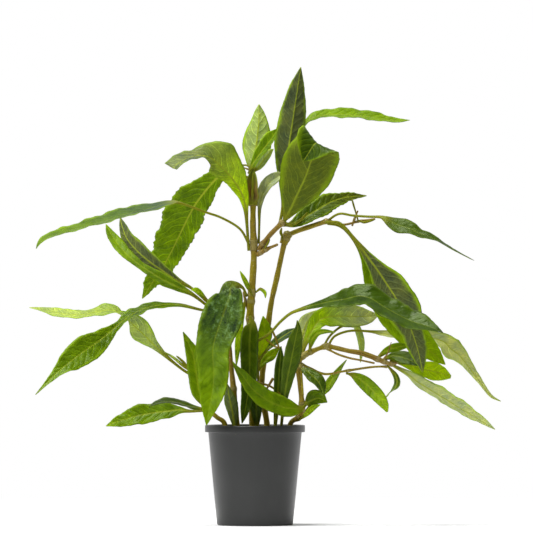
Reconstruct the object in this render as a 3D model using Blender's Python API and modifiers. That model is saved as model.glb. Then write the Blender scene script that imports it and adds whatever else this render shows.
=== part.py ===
"""A potted narrow-leaf temple plant: a five centimetre pot, its rock wool plug, the stems and every leaf.

Lengths are in millimetres until a mesh is made. The origin is the middle of the pot's foot, +Z is up,
and -Y is the plant's front. A leaf follows its stations: x, y, z, the angle that its upper side is turned
from looking outwards towards the front, and the width there. Its first station sits on the stem. Its sweep
is how far the tip swings to the back on top of that, or to the front where it is below zero.
"""
import math
from collections import namedtuple

import bmesh
import bpy
from mathutils import Vector

MM = 0.001
GAP = 0.3

POT_TOP_DIAMETER = 50.0
POT_FOOT_DIAMETER = 38.0
POT_HEIGHT = 50.0
POT_WALL = 1.2
POT_FLOOR = 1.6
RIM_HEIGHT = 3.5
RIM_OVERHANG = 1.3
RIM_EDGE = 0.4
FOOT_EDGE = 1.0
POT_SIDES = 32
HOLE_SIDES = 12

PLUG_BELOW_RIM = 2.5
PLUG_SIDE_CLEARANCE = 0.4
PLUG_EDGE = 1.2
STEM_SIDES_RESOLUTION = 2

WIDEST_PETIOLE = 1.95
PETIOLE_THICKNESS = 1.2
BLADE_THICKNESS = 0.55
TIP_WIDTH = 0.5
LEAF_STEPS_PER_MM = 0.105
FEWEST_LEAF_STEPS = 6
MOST_LEAF_STEPS = 13
SMOOTH_SAMPLES = 12
SWEEP_BEND = 1.5

FINISHES = {
    "pot": ((0.018, 0.019, 0.018), 0.45),
    "wool": ((0.30, 0.24, 0.13), 0.95),
    "stem_olive": ((0.21, 0.19, 0.03), 0.50),
    "stem_brown": ((0.20, 0.12, 0.05), 0.55),
    "leaf_mid": ((0.10, 0.19, 0.012), 0.42),
    "leaf_dark": ((0.035, 0.085, 0.008), 0.38),
    "leaf_lime": ((0.20, 0.33, 0.02), 0.45),
    "leaf_pale": ((0.30, 0.38, 0.16), 0.55),
    "leaf_olive": ((0.10, 0.14, 0.045), 0.55),
}

Stem = namedtuple("Stem", "name finish radii points in_plug")
Leaf = namedtuple("Leaf", "name finish side sweep lean fold curl stations")

LEFT = 1
RIGHT = -1

STEMS = (
    Stem("main_stem", "stem_olive", (2.1, 1.4), (
        (-1, 0, 36), (-1, 0, 50), (-2, -0.5, 80), (-2.5, -0.5, 102), (-1.5, 0, 118), (-0.5, 0, 136),
        (-1, 0, 149), (-1, 0, 162), (-1.5, 0, 176)), True),
    Stem("upper_right_branch", "stem_brown", (1.35, 1.2), (
        (2.4, -0, 138.3), (7.5, -1, 145), (14, -2, 151.5)), False),
    Stem("second_stem", "stem_olive", (1.6, 1.3), (
        (6, 9, 36), (6, 9, 50), (4, 9, 62), (3.5, 9, 73), (7.5, 8, 107), (11, 7, 124), (15, 6, 142.5),
        (15.8, 6, 144.5)), True),
    Stem("second_stem_branch", "stem_olive", (1.25, 1.2), (
        (17.3, 6.5, 145.4), (22.5, 5, 147.5), (30, 4, 150), (36, 3, 152)), False),
    Stem("side_twig", "stem_brown", (0.6, 0.5), (
        (36.6, 4.9, 152.3), (44, 7, 150.2), (52.5, 7, 152), (60, 7, 153)), False),
    Stem("third_stem", "stem_olive", (1.3, 1.2), (
        (17.5, -2.5, 36), (17.5, -2.5, 50), (22, -2.5, 54), (23.5, -2.5, 58), (23, -2.5, 66),
        (21.5, -2.5, 79.5), (24, -2.5, 84.5), (30, -2.5, 87.5), (35.5, -2.5, 89.5)), True),
    Stem("low_right_branch", "stem_brown", (1.2, 0.9), (
        (36.5, -2.8, 89.5), (45, -4.5, 87.5), (53.5, -5, 85.5), (63.5, -5, 82), (68.5, -5, 80.3)), False),
    Stem("thin_twig", "stem_olive", (0.6, 0.55), (
        (23.5, -2, 80.4), (27.5, -2, 78.5), (35, -1.5, 75.5), (45, -1.5, 77), (58.5, -1.5, 79),
        (66, -1.5, 79.2)), False),
    Stem("fourth_stem", "stem_brown", (1.4, 1.2), (
        (-9, 3, 36), (-9, 3, 50), (-11.5, 3, 75), (-13.5, 3, 92), (-16.5, 3, 101.5), (-20, 3, 108),
        (-23.5, 3, 111)), True),
    Stem("low_left_stem", "stem_olive", (1.3, 1.1), (
        (-15, -4, 36), (-15, -4, 50), (-19, -5, 54), (-24.5, -6, 58.5)), True),
)

TOP_LEAVES = (
    Leaf("spoon_shaped_top_leaf", "leaf_olive", RIGHT, -14, 0.0, 8, 10, (
        (14.5, -2.3, 152.1, -80, 1.5), (17.5, -4, 157.5, -80, 8), (21, -6, 165, -80, 19),
        (25, -8, 173.5, -82, 27), (28, -9, 182, -88, 27.5), (30.3, -9.3, 187.5, -102, 25.5),
        (31.2, -10.1, 190, -130, 24.5), (30.3, -11.6, 190.6, -238, 23), (28.5, -12.1, 188.6, -256, 18.5),
        (26.3, -11, 185, -256, 11), (24, -9.6, 181.6, -256, 0.5))),
    Leaf("toothed_right_leaf", "leaf_mid", RIGHT, 16, 0.0, 8, 0, (
        (15.4, -1.5, 149.9, 60, 1.5), (19, -0.5, 150.5, 60, 4.5), (24, 0.5, 153.3, 60, 8.5),
        (31.5, 1.5, 157.8, 60, 11.5), (38, 2, 161.5, 60, 10.5), (45, 2, 163.8, 60, 6.3),
        (51, 1.5, 164.5, 55, 3.5), (56, 1, 164.8, 55, 0.5))),
    Leaf("tall_top_leaf", "leaf_olive", RIGHT, 14, 0.0, 8, 10, (
        (12.7, -0.4, 152.5, -80, 1.5), (14.3, 2, 160, -80, 2.5), (15.5, 4, 170, -80, 7),
        (16, 6, 180, -80, 11), (17, 7.5, 190, -80, 15), (18.5, 8.5, 200, -80, 15),
        (20, 9, 210, -80, 12.5), (21.5, 9, 220, -75, 8), (23, 9, 229.5, -70, 0.5))),
    Leaf("arching_top_leaf", "leaf_mid", RIGHT, 26, 0.0, 8, 6, (
        (15, -0.4, 151.5, 20, 1.5), (18.5, 5, 165, 20, 1.6), (20.5, 11, 180, 20, 2.5), (21.6, 14.5, 190, 20, 3.5),
        (23.8, 16, 198.5, 22, 5), (28.8, 15.5, 203.8, 25, 7.5), (37.5, 14, 205.6, 25, 11.5),
        (47.5, 12, 205.5, 25, 12), (57.5, 10, 204.5, 25, 11.5), (66.5, 8, 203, 25, 8.5),
        (72.5, 6.5, 202.5, 25, 5.5), (78, 5, 203, 25, 0.5))),
    Leaf("pale_apex_leaf", "leaf_pale", LEFT, 5, 0.0, 10, 10, (
        (-1.8, 0.9, 176.7, -85, 1.5), (-1, 1.5, 181.5, -85, 7.5), (0.3, 2, 187.5, -85, 14),
        (1, 2.5, 192.5, -85, 15), (1.5, 3, 197.5, -85, 12.8), (2, 3.5, 202.5, -85, 9),
        (2, 4, 207, -85, 5), (2, 4, 210.5, -85, 0.5))),
    Leaf("folded_apex_leaf", "leaf_mid", RIGHT, -6, 0.0, 20, 0, (
        (-2.6, -1.2, 176.9, 45, 1.5), (-0.5, -2.5, 181, 45, 4.5), (2.5, -4, 185.5, 45, 7.5),
        (6, -5, 190, 45, 9), (9, -5.7, 194, 45, 7.5), (11.3, -6, 198, 45, 0.5))),
    Leaf("small_apex_leaf", "leaf_pale", RIGHT, 4, 0.0, 10, 0, (
        (-0.5, -0.2, 176.9, -70, 1.4), (2, -0.8, 179.5, -70, 4), (4.5, -0.8, 183, -70, 5),
        (7, -0.6, 186, -70, 4), (9.2, -0.5, 188, -70, 0.5))),
    Leaf("stem_side_leaf", "leaf_dark", RIGHT, 6, 0.0, 25, 0, (
        (1.9, 0.8, 142, 30, 1.3), (2.1, 1, 150, 40, 1.3), (2.3, 0.6, 158, 50, 2.5),
        (3.8, 0, 165, 60, 5.5), (7, -1, 170.5, 60, 8), (11.5, -1.5, 174, 60, 6), (15, -1.5, 175.5, 60, 1))),
)

LEFT_LEAVES = (
    Leaf("long_left_leaf", "leaf_mid", LEFT, -26, 0.0, 6, 8, (
        (-3.2, 0.5, 140.5, 30, 1.4), (-7.5, 1.5, 148, 20, 1.4), (-16.5, 1.5, 153.5, 15, 1.4),
        (-25, 0.5, 156.5, 15, 1.4), (-37.5, -1, 161, 15, 2.2), (-42.5, -2, 161, 18, 9),
        (-52.5, -4, 158.2, 18, 15), (-62.5, -6, 155.7, 18, 17), (-72.5, -8, 152.5, 18, 16.5),
        (-82.5, -10, 149.8, 18, 13), (-92.5, -12, 146.8, 18, 11.5), (-101.5, -14, 144, 18, 9.5),
        (-106, -16, 141, 20, 5), (-108.2, -17, 138, 20, 0.5))),
    Leaf("curled_upper_left_leaf", "leaf_mid", LEFT, -14, 0.3, 8, 0, (
        (-3.2, -1.8, 138.5, 80, 1.5), (-4, -2.2, 150, 80, 1.6), (-4.6, -2.5, 157.5, 80, 2.6),
        (-6, -3.2, 164, 80, 5.5), (-8.5, -4.4, 169, 80, 9), (-11.5, -5.4, 173.3, 80, 12),
        (-15, -6.2, 177.2, 80, 15.5), (-18.8, -7, 180.8, 76, 18.5), (-22, -7.8, 183.2, 56, 14.5),
        (-26.5, -9, 184.5, 32, 11), (-32, -10.8, 183.5, 25, 10.5), (-37, -12.4, 181.2, 34, 10.5),
        (-40.8, -13.6, 178, 48, 8.5))),
    Leaf("hanging_back_left_leaf", "leaf_mid", LEFT, 28, 0.2, 6, 6, (
        (-3.3, 1, 173.5, 60, 1.5), (-7.5, 4, 175.5, 60, 1.5), (-13, 7, 176, 65, 3),
        (-19.5, 9, 173, 70, 9), (-28.5, 11, 162.5, 75, 18), (-33, 12, 155, 75, 21),
        (-37.5, 13, 146, 75, 19.5), (-42.5, 14, 136, 75, 16.5), (-47, 14, 128, 75, 13),
        (-52.5, 14, 120, 75, 7), (-57, 14, 113, 75, 0.5))),
    Leaf("grey_backed_left_leaf", "leaf_olive", LEFT, 26, 0.0, 8, 0, (
        (-23.9, 3, 111.5, -60, 1.5), (-31.5, 3, 118.2, -60, 1.6), (-38.5, 3, 122, -65, 3.5),
        (-46, 3, 127, -65, 6.5), (-52.5, 3.5, 131.5, -65, 8.8), (-59, 4.5, 137, -65, 10),
        (-64.5, 5.5, 143.5, -65, 7.5), (-67, 7, 150, -65, 4), (-68, 8, 154, -65, 0.5))),
    Leaf("bright_left_leaf", "leaf_lime", LEFT, 20, 0.0, 8, 0, (
        (-24.5, 1.3, 110.1, 60, 1.5), (-31.5, -0.5, 115.4, 60, 2.4), (-38.5, -1.3, 118.8, 60, 5),
        (-46, -1.6, 122.5, 60, 7), (-52.5, -1.5, 126.5, 60, 5.5), (-58.5, -1, 130.5, 60, 4.5),
        (-64, 0, 135, 60, 6.2), (-68.5, 2, 140, 60, 6.8), (-72.5, 4, 145.5, 60, 5),
        (-75, 6, 150.5, 60, 0.5))),
    Leaf("large_front_leaf", "leaf_mid", LEFT, -14, 0.0, 6, 8, (
        (-4.6, -1, 115.5, 60, 1.5), (-6, -4, 118.5, 60, 1.5), (-9, -7, 120, 62, 4),
        (-12, -10, 118.8, 70, 9), (-12.6, -12, 114.5, 80, 13.5), (-14.8, -13.5, 108.5, 85, 19.5),
        (-16.8, -14.5, 102.5, 85, 21), (-19.4, -15.5, 95, 85, 19.2), (-21, -16, 87.5, 85, 17.2),
        (-20.5, -16.5, 77.5, 85, 16), (-20.8, -17, 70, 85, 14.5), (-22, -17.5, 62.5, 85, 11),
        (-23.2, -18, 56, 85, 5.5), (-24, -18.5, 50.5, 85, 0.5))),
    Leaf("twisted_pale_left_leaf", "leaf_lime", LEFT, 38, 0.0, 8, 0, (
        (-12.8, 3.7, 68.1, -40, 1.4), (-22, 6, 71.5, -40, 1.4), (-33, 6, 75.5, -45, 1.5),
        (-42.5, 5, 82.5, -50, 2), (-50, 5, 89.5, -60, 5.2), (-55, 5, 94.5, -60, 11),
        (-60, 5, 99, -55, 13.5), (-65, 5, 103.8, -15, 12), (-71.5, 4, 107, 25, 11),
        (-77.5, 3, 106.8, 35, 9.5), (-83.5, 3, 105.5, 35, 6.5), (-90, 2, 104.8, 35, 7),
        (-97.5, 2, 105.5, 35, 8.8), (-105, 2, 107, 35, 5.3), (-110, 2, 108, 35, 2.6),
        (-114, 2, 108.5, 35, 0.5))),
    Leaf("drooping_left_leaf", "leaf_mid", LEFT, -32, 0.0, 6, 6, (
        (-21.7, 1.9, 106.7, 30, 1.5), (-27, 0, 107.6, 30, 1.6), (-36.5, -2, 109.8, 25, 3.8),
        (-45, -4, 110, 25, 6.5), (-52.5, -5, 109, 25, 9.5), (-57.5, -6, 107.2, 25, 10.5),
        (-62.5, -7, 104.5, 28, 9), (-66.5, -7.5, 101.5, 45, 5.5), (-70, -8, 98.5, 65, 5),
        (-73.5, -9, 95.5, 75, 8), (-78.5, -10, 91.5, 75, 12.4), (-85, -12, 87, 75, 15),
        (-91.5, -13, 82, 70, 12), (-97.5, -14, 77, 65, 6), (-102.5, -15, 72, 60, 2.8),
        (-108.3, -16, 66, 55, 0.5))),
    Leaf("small_left_upright_leaf", "leaf_lime", LEFT, 8, 0.0, 8, 0, (
        (-25.1, -6, 59.4, 80, 1.5), (-27.8, -5, 66.5, 80, 8), (-29.3, -4, 75, 80, 8.6),
        (-31, -3, 85, 80, 7.6), (-33.5, -2.5, 91, 80, 4.2), (-36, -2, 96.5, 80, 0.5))),
    Leaf("low_left_dark_leaf", "leaf_dark", LEFT, -18, 0.0, 8, 0, (
        (-25.3, -7.2, 58, 25, 1.5), (-32.5, -8, 59.5, 25, 6.5), (-37.5, -8.5, 61.3, 25, 6.5),
        (-42.5, -9, 62, 25, 7), (-47.5, -10, 61.5, 25, 5.8), (-52.5, -11, 59.7, 25, 0.5))),
    Leaf("low_left_broad_leaf", "leaf_mid", LEFT, 14, 0.0, 8, 0, (
        (-25.5, -4.8, 57.3, 40, 1.5), (-32.5, -5, 57, 45, 2), (-37.5, -5.8, 57.5, 55, 4.5),
        (-43.5, -7, 57, 60, 9), (-52.5, -9, 55.8, 60, 11), (-60, -11, 54.3, 60, 11),
        (-67.5, -12.5, 52, 60, 7), (-74.5, -14, 49.5, 60, 0.5))),
)

CENTRE_LEAVES = (
    Leaf("dark_centre_leaf", "leaf_dark", LEFT, -5, 0.0, 8, 10, (
        (-2.2, -3.3, 103.3, 80, 1.5), (-1.6, -4.5, 100.5, 80, 4.5), (-2.3, -5.5, 97, 80, 8.2),
        (-2.7, -6.5, 91, 80, 9.3), (-2.6, -7, 82, 80, 9.2), (-2.8, -7.3, 74, 80, 8.2),
        (-3.5, -7.5, 66, 80, 7), (-5, -7.8, 57, 80, 4.5), (-6.5, -8, 51, 80, 0.5))),
    Leaf("low_front_leaf", "leaf_mid", LEFT, -10, 0.0, 12, 0, (
        (24.3, -4.9, 59.3, 60, 1.5), (22, -7, 58.3, 62, 4.8), (17.5, -9, 58.5, 65, 9.5),
        (11.5, -10.5, 60, 65, 11), (4.5, -12, 63.5, 65, 11), (-1.5, -13, 68.5, 65, 8.8),
        (-6, -13, 74.5, 65, 6), (-9.5, -13, 79, 65, 2.5), (-11, -13, 82, 65, 0.5))),
    Leaf("bright_centre_leaf", "leaf_lime", LEFT, -2, 0.0, 8, 0, (
        (0.8, 0.9, 82, 70, 1.4), (2.8, 2.2, 87.5, 70, 5), (4.6, 3.5, 93.5, 70, 7.5),
        (4.8, 4.2, 99, 70, 6.5), (4, 5, 104.5, 70, 0.5))),
    Leaf("small_centre_leaf", "leaf_lime", RIGHT, -1, 0.0, 8, 0, (
        (0.9, 1.2, 76, 70, 1.4), (4, 3.3, 81, 70, 3), (8, 4.6, 84.7, 70, 5.6), (12.5, 4.2, 89, 70, 0.5))),
    Leaf("lime_centre_leaf", "leaf_lime", LEFT, 4, 0.0, 8, 0, (
        (-4.9, 0.5, 112, 60, 1.4), (-6.8, 0.3, 105, 60, 4), (-7.6, 0.2, 97, 60, 4),
        (-8.6, -0.3, 88, 60, 3.4), (-9.4, -1, 79, 60, 0.5))),
    Leaf("dark_upright_leaf", "leaf_dark", LEFT, -8, 0.0, 8, 0, (
        (13, -3, 48, 75, 1.5), (14, -5, 58, 75, 2), (14.8, -5.8, 65, 75, 4.2), (16, -7, 73, 75, 6.5),
        (17.5, -8, 80, 75, 8.3), (19, -8.5, 87.5, 75, 8.8), (20.3, -8.5, 94, 75, 7),
        (21.3, -8.5, 99, 75, 3), (21, -8.5, 102.5, 75, 0.5))),
    Leaf("short_dark_upright_leaf", "leaf_dark", LEFT, -4, 0.0, 8, 0, (
        (10, -2.5, 48, 75, 1.5), (11, -3, 62.5, 75, 3.6), (11.7, -3.5, 72.5, 75, 5),
        (12.4, -4, 82, 75, 4.6), (13, -4, 89.5, 75, 0.5))),
    Leaf("low_centre_leaf", "leaf_dark", LEFT, -4, 0.0, 8, 0, (
        (1, -4.5, 48, 70, 1.5), (0.5, -5, 60, 70, 7), (-0.5, -4.8, 68, 70, 6), (-1, -4.6, 76, 70, 0.5))),
    Leaf("low_olive_leaf", "leaf_olive", LEFT, -6, 0.0, 8, 0, (
        (-9.8, -2, 48, -70, 1.5), (-11, -2.5, 56, -70, 6), (-12.5, -3, 63, -70, 6.5),
        (-14, -3.5, 71, -70, 0.5))),
    Leaf("grey_small_leaf", "leaf_olive", RIGHT, 4, 0.0, 8, 0, (
        (1.6, -1, 70.5, 50, 1.3), (2, -1.5, 81, 50, 1.3), (6, -1, 87.5, 50, 2), (11, 0, 92, 50, 5),
        (16, 1, 95.5, 50, 5.5), (21, 2, 98.5, 50, 0.5))),
)

RIGHT_LEAVES = (
    Leaf("long_tipped_right_leaf", "leaf_mid", RIGHT, -26, 0.0, 8, 0, (
        (37.2, 3.8, 152.8, 20, 1.3), (40.5, 2.5, 155, 20, 1.3), (43.5, 2, 155.7, 20, 1.3),
        (48.5, 1.5, 154.8, 20, 1.3), (56, 1, 154.2, 30, 1.3), (62.5, 0.5, 154, 50, 1.8),
        (65, 0, 153.2, 58, 3.6), (68.5, -0.5, 151.2, 60, 7), (72.5, -1, 149.5, 60, 9.2),
        (77.5, -2, 148, 58, 8), (81.5, -2.5, 145.8, 45, 6.5), (86.5, -3, 144, 35, 6),
        (91.5, -3.5, 141.8, 20, 5), (97.5, -4, 138.2, 10, 4), (102.5, -4.5, 135.5, 5, 2.5),
        (108.8, -5, 132.2, 5, 0.5))),
    Leaf("drooping_right_leaf", "leaf_olive", RIGHT, -14, 0.0, 8, 6, (
        (36.5, 1.8, 151.3, -60, 1.6), (41.5, 0.8, 151.2, -70, 1.7), (45, 0, 148.5, -75, 1.8),
        (48, -0.5, 145, -80, 1.8), (51, -1, 141.5, -80, 2), (56, -1.5, 134.5, -80, 5),
        (60.5, -2.5, 128.5, -80, 8.8), (65.5, -3.5, 121, -80, 16.5), (70, -4.5, 114, -80, 18.3),
        (74.5, -5, 106, -80, 18), (78, -5.5, 97.5, -80, 12.5), (80.5, -6, 90, -80, 10.7),
        (82, -6.5, 84, -80, 7.2), (83.5, -7, 76.5, -80, 0.5))),
    Leaf("bright_drooping_leaf", "leaf_lime", RIGHT, 10, 0.0, 8, 0, (
        (37.6, 4.4, 150.6, 60, 1.5), (41.5, 5, 149.9, 70, 1.5), (45.5, 5.3, 147.3, 70, 1.6),
        (50.8, 6, 141, 75, 2.4), (55.3, 7, 133, 75, 5), (59.2, 8, 122.5, 75, 10.5), (65, 9, 111, 75, 15),
        (73.5, 9, 100, 75, 16), (82.5, 8, 91.5, 75, 14), (90, 7, 85, 75, 8), (95.5, 6, 80, 75, 0.5))),
    Leaf("large_right_arching_leaf", "leaf_dark", RIGHT, -28, 0.0, 8, 6, (
        (0.4, -1, 91.5, 45, 1.5), (5, -2.5, 94.2, 45, 1.5), (8.5, -5, 97, 45, 1.5),
        (12.5, -7, 101.5, 45, 1.6), (17.5, -9, 105.7, 45, 1.8), (22.5, -11, 107.8, 45, 2.4),
        (27.5, -12, 109.3, 45, 3.6), (32.5, -13.5, 110.5, 45, 5.2), (37.5, -14.5, 111.8, 45, 8),
        (45, -16, 113, 45, 12.7), (51.5, -17, 114.5, 45, 15.5), (57.5, -17.5, 113.3, 45, 15.5),
        (63.5, -18, 109.5, 45, 15.5), (70, -18.5, 105.8, 45, 15.5), (76.5, -19, 102.5, 45, 14.8),
        (82.5, -19.5, 100.5, 45, 12), (88.5, -20, 98.5, 42, 5.6), (93, -20, 96.5, 40, 0.5))),
    Leaf("far_right_leaf", "leaf_pale", RIGHT, 38, 0.0, 8, 0, (
        (37.1, -1.5, 90.5, -20, 1.4), (40, 0, 94.5, -20, 1.4), (47.5, 4, 97, -20, 1.4),
        (57.5, 8.5, 96.7, -25, 2), (67.5, 13, 95.5, -30, 8), (77.5, 15, 94.5, -35, 8.5),
        (87.5, 14, 93.8, -45, 8.5), (95, 12, 91.5, -55, 10), (98.5, 10, 88, -62, 12),
        (102.5, 8, 85, -65, 9.5), (105.5, 6.5, 81.5, -65, 7), (109, 5, 77, -65, 4.6),
        (112.5, 4, 72.5, -62, 3.6), (116, 3, 67.5, -60, 2.4), (119.5, 2, 63.5, -60, 1.8),
        (124, 1, 61.2, -60, 0.5))),
    Leaf("low_right_leaf", "leaf_pale", RIGHT, -24, 0.0, 12, 0, (
        (69, -5.2, 79.8, -45, 1.5), (76.5, -6.2, 75.7, -45, 4.5), (80.5, -7, 72.5, -45, 7.5),
        (85.5, -7.5, 69.2, -45, 8.5), (91, -8, 65.8, -45, 10), (96.5, -8.5, 62.5, -45, 9.5),
        (102, -9.5, 59, -45, 9.5), (108, -10.5, 55.5, -45, 7.5), (114.5, -11.5, 51.5, -45, 4),
        (119, -12, 48.5, -45, 0.5))),
    Leaf("rounded_right_leaf", "leaf_lime", RIGHT, 16, 0.0, 6, 0, (
        (68.8, -3.4, 82, 75, 1.4), (73, -2, 81, 75, 2.5), (78.5, -1, 79.5, 75, 5.5),
        (83.5, -1, 78, 75, 7.7), (89, -1, 76.8, 75, 9.6), (94, -1.5, 75.5, 75, 7.2),
        (98.3, -2, 73.8, 75, 1.5))),
    Leaf("short_hanging_leaf", "leaf_lime", RIGHT, -12, 0.0, 6, 0, (
        (46.9, -1.4, 75.6, 78, 1.2), (49, -2, 75, 78, 3), (52, -2.2, 73.2, 78, 5.7),
        (55.5, -2.8, 70.5, 78, 7.2), (59, -3.4, 67, 78, 7.2), (62.2, -4, 63.5, 78, 6.5),
        (64.5, -4.5, 60, 78, 4.5), (65.8, -5, 56.8, 78, 1))),
    Leaf("small_twisted_leaf", "leaf_mid", RIGHT, 10, 0.0, 6, 0, (
        (67, -1.6, 78.8, 60, 1.2), (70, -1, 75, 60, 3), (71, -0.5, 71.5, 60, 3.8),
        (70, 0, 68.5, 40, 4.2), (67.5, 0.5, 66, 0, 3), (64.3, 0.8, 62.3, -30, 0.5))),
    Leaf("broad_right_leaf", "leaf_mid", RIGHT, 22, 0.0, 8, 6, (
        (24.3, -2, 87.3, 72, 1.5), (25.5, -1.5, 91.5, 72, 3), (28.5, -1, 97, 72, 6),
        (32.5, -0.5, 102.5, 72, 10), (38.5, 0, 104.2, 72, 11.5), (45, 0.5, 104.2, 72, 12.5),
        (51.5, 1, 104, 72, 11), (57, 1.5, 104.2, 72, 7.5), (62, 2, 104.7, 72, 0.5))),
    Leaf("narrow_right_leaf", "leaf_mid", RIGHT, -10, 0.0, 8, 0, (
        (27.3, -3.9, 88, 60, 1.3), (28.7, -5, 93, 60, 4), (31.5, -5.6, 96, 60, 3.8),
        (35.5, -6.2, 96.8, 60, 2.5), (40, -6.5, 96.5, 60, 0.5))),
    Leaf("pale_right_leaf", "leaf_pale", RIGHT, 14, 0.0, 8, 0, (
        (23.1, -1, 85.7, -75, 1.4), (23.5, 2.5, 94, -75, 4), (25.8, 4, 101, -75, 8),
        (30.8, 5, 107, -75, 1))),
    Leaf("pale_hanging_leaf", "leaf_pale", RIGHT, 16, 0.0, 8, 0, (
        (34.6, -0.6, 89.8, -60, 1.2), (37.5, 3, 94.5, -60, 1.2), (43, 7, 99, -60, 1.4),
        (49.5, 10, 100.5, -65, 3), (52.3, 11, 95.5, -70, 3.8), (53.5, 11, 89, -70, 3.4),
        (53, 10, 81, -70, 0.5))),
    Leaf("lime_right_leaf", "leaf_lime", RIGHT, 5, 0.0, 8, 0, (
        (61.4, -3.5, 83.8, 70, 1.3), (66, -1.5, 87.2, 70, 3.6), (71.5, -0.5, 89, 70, 4.6),
        (78, 0, 89.5, 70, 0.5))),
    Leaf("dark_right_leaf", "leaf_dark", RIGHT, -10, 0.0, 8, 0, (
        (64.9, -3, 83.1, 60, 1.3), (69.5, -4.2, 84.6, 60, 5), (76, -4.4, 83, 60, 8),
        (82.5, -4.4, 79.5, 60, 0.5))),
)

LOW_RIGHT_LEAVES = (
    Leaf("small_dark_leaf", "leaf_dark", RIGHT, -10, 0.0, 8, 0, (
        (22.6, -4.1, 79, 60, 1.3), (26, -6.3, 76.9, 60, 5), (28.8, -7, 74.5, 60, 7),
        (32, -7.5, 71, 60, 7), (34.5, -8, 64.8, 60, 0.5))),
    Leaf("small_pointed_leaf", "leaf_lime", RIGHT, 14, 0.0, 8, 0, (
        (25.4, -1.5, 57, 60, 1.3), (31, 0, 63.5, 60, 3), (36, 1, 68.5, 60, 5),
        (39, 1, 73, 60, 5), (42.5, 1, 78, 60, 2.6), (46, 1, 82.5, 60, 0.5))),
    Leaf("low_right_dark_leaf", "leaf_dark", RIGHT, -6, 0.0, 6, 0, (
        (25.1, -3.7, 60.5, 80, 1.5), (28.5, -4.5, 62.5, 80, 9), (32, -4.5, 63.5, 80, 8),
        (36, -4.5, 61.5, 80, 0.5))),
    Leaf("low_lime_leaf", "leaf_lime", RIGHT, -10, 0.0, 8, 0, (
        (22.7, -4.6, 53.2, 60, 1.2), (26, -7, 56, 60, 3), (29, -8, 58.5, 60, 3.4),
        (32.5, -8, 60.5, 60, 0.5))),
)

LEAVES = TOP_LEAVES + LEFT_LEAVES + CENTRE_LEAVES + RIGHT_LEAVES + LOW_RIGHT_LEAVES


def clear_scene():
    for thing in list(bpy.data.objects):
        bpy.data.objects.remove(thing, do_unlink=True)


def make_collections():
    plant = bpy.data.collections.new("potted_temple_plant")
    cutters = bpy.data.collections.new("cutters")
    for collection in (plant, cutters):
        bpy.context.scene.collection.children.link(collection)
    return plant, cutters


def make_finishes():
    finishes = {}
    for name, (colour, roughness) in FINISHES.items():
        material = bpy.data.materials.new(name)
        material.use_nodes = True
        shader = material.node_tree.nodes["Principled BSDF"]
        shader.inputs["Base Color"].default_value = (*colour, 1.0)
        shader.inputs["Roughness"].default_value = roughness
        shader.inputs["Metallic"].default_value = 0.0
        finishes[name] = material
    return finishes


def add_object(name, data, collection, finish=None):
    thing = bpy.data.objects.new(name, data)
    collection.objects.link(thing)
    if finish is not None:
        data.materials.append(finish)
    return thing


def smooth_value(before, start, end, after, t):
    """Catmull-Rom between two stations, for each of their numbers."""
    values = []
    for a, b, c, d in zip(before, start, end, after):
        bend = (2 * a - 5 * b + 4 * c - d) * t * t + (3 * b - a - 3 * c + d) * t ** 3
        values.append(0.5 * (2 * b + (c - a) * t + bend))
    return values


def smooth_stations(stations):
    """The stations joined by a smooth curve, read at close intervals."""
    samples = []
    last = len(stations) - 1
    for index in range(last):
        before = stations[max(index - 1, 0)]
        after = stations[min(index + 2, last)]
        for step in range(SMOOTH_SAMPLES):
            t = step / SMOOTH_SAMPLES
            samples.append(smooth_value(before, stations[index], stations[index + 1], after, t))
    samples.append(list(stations[last]))
    return samples


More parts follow.
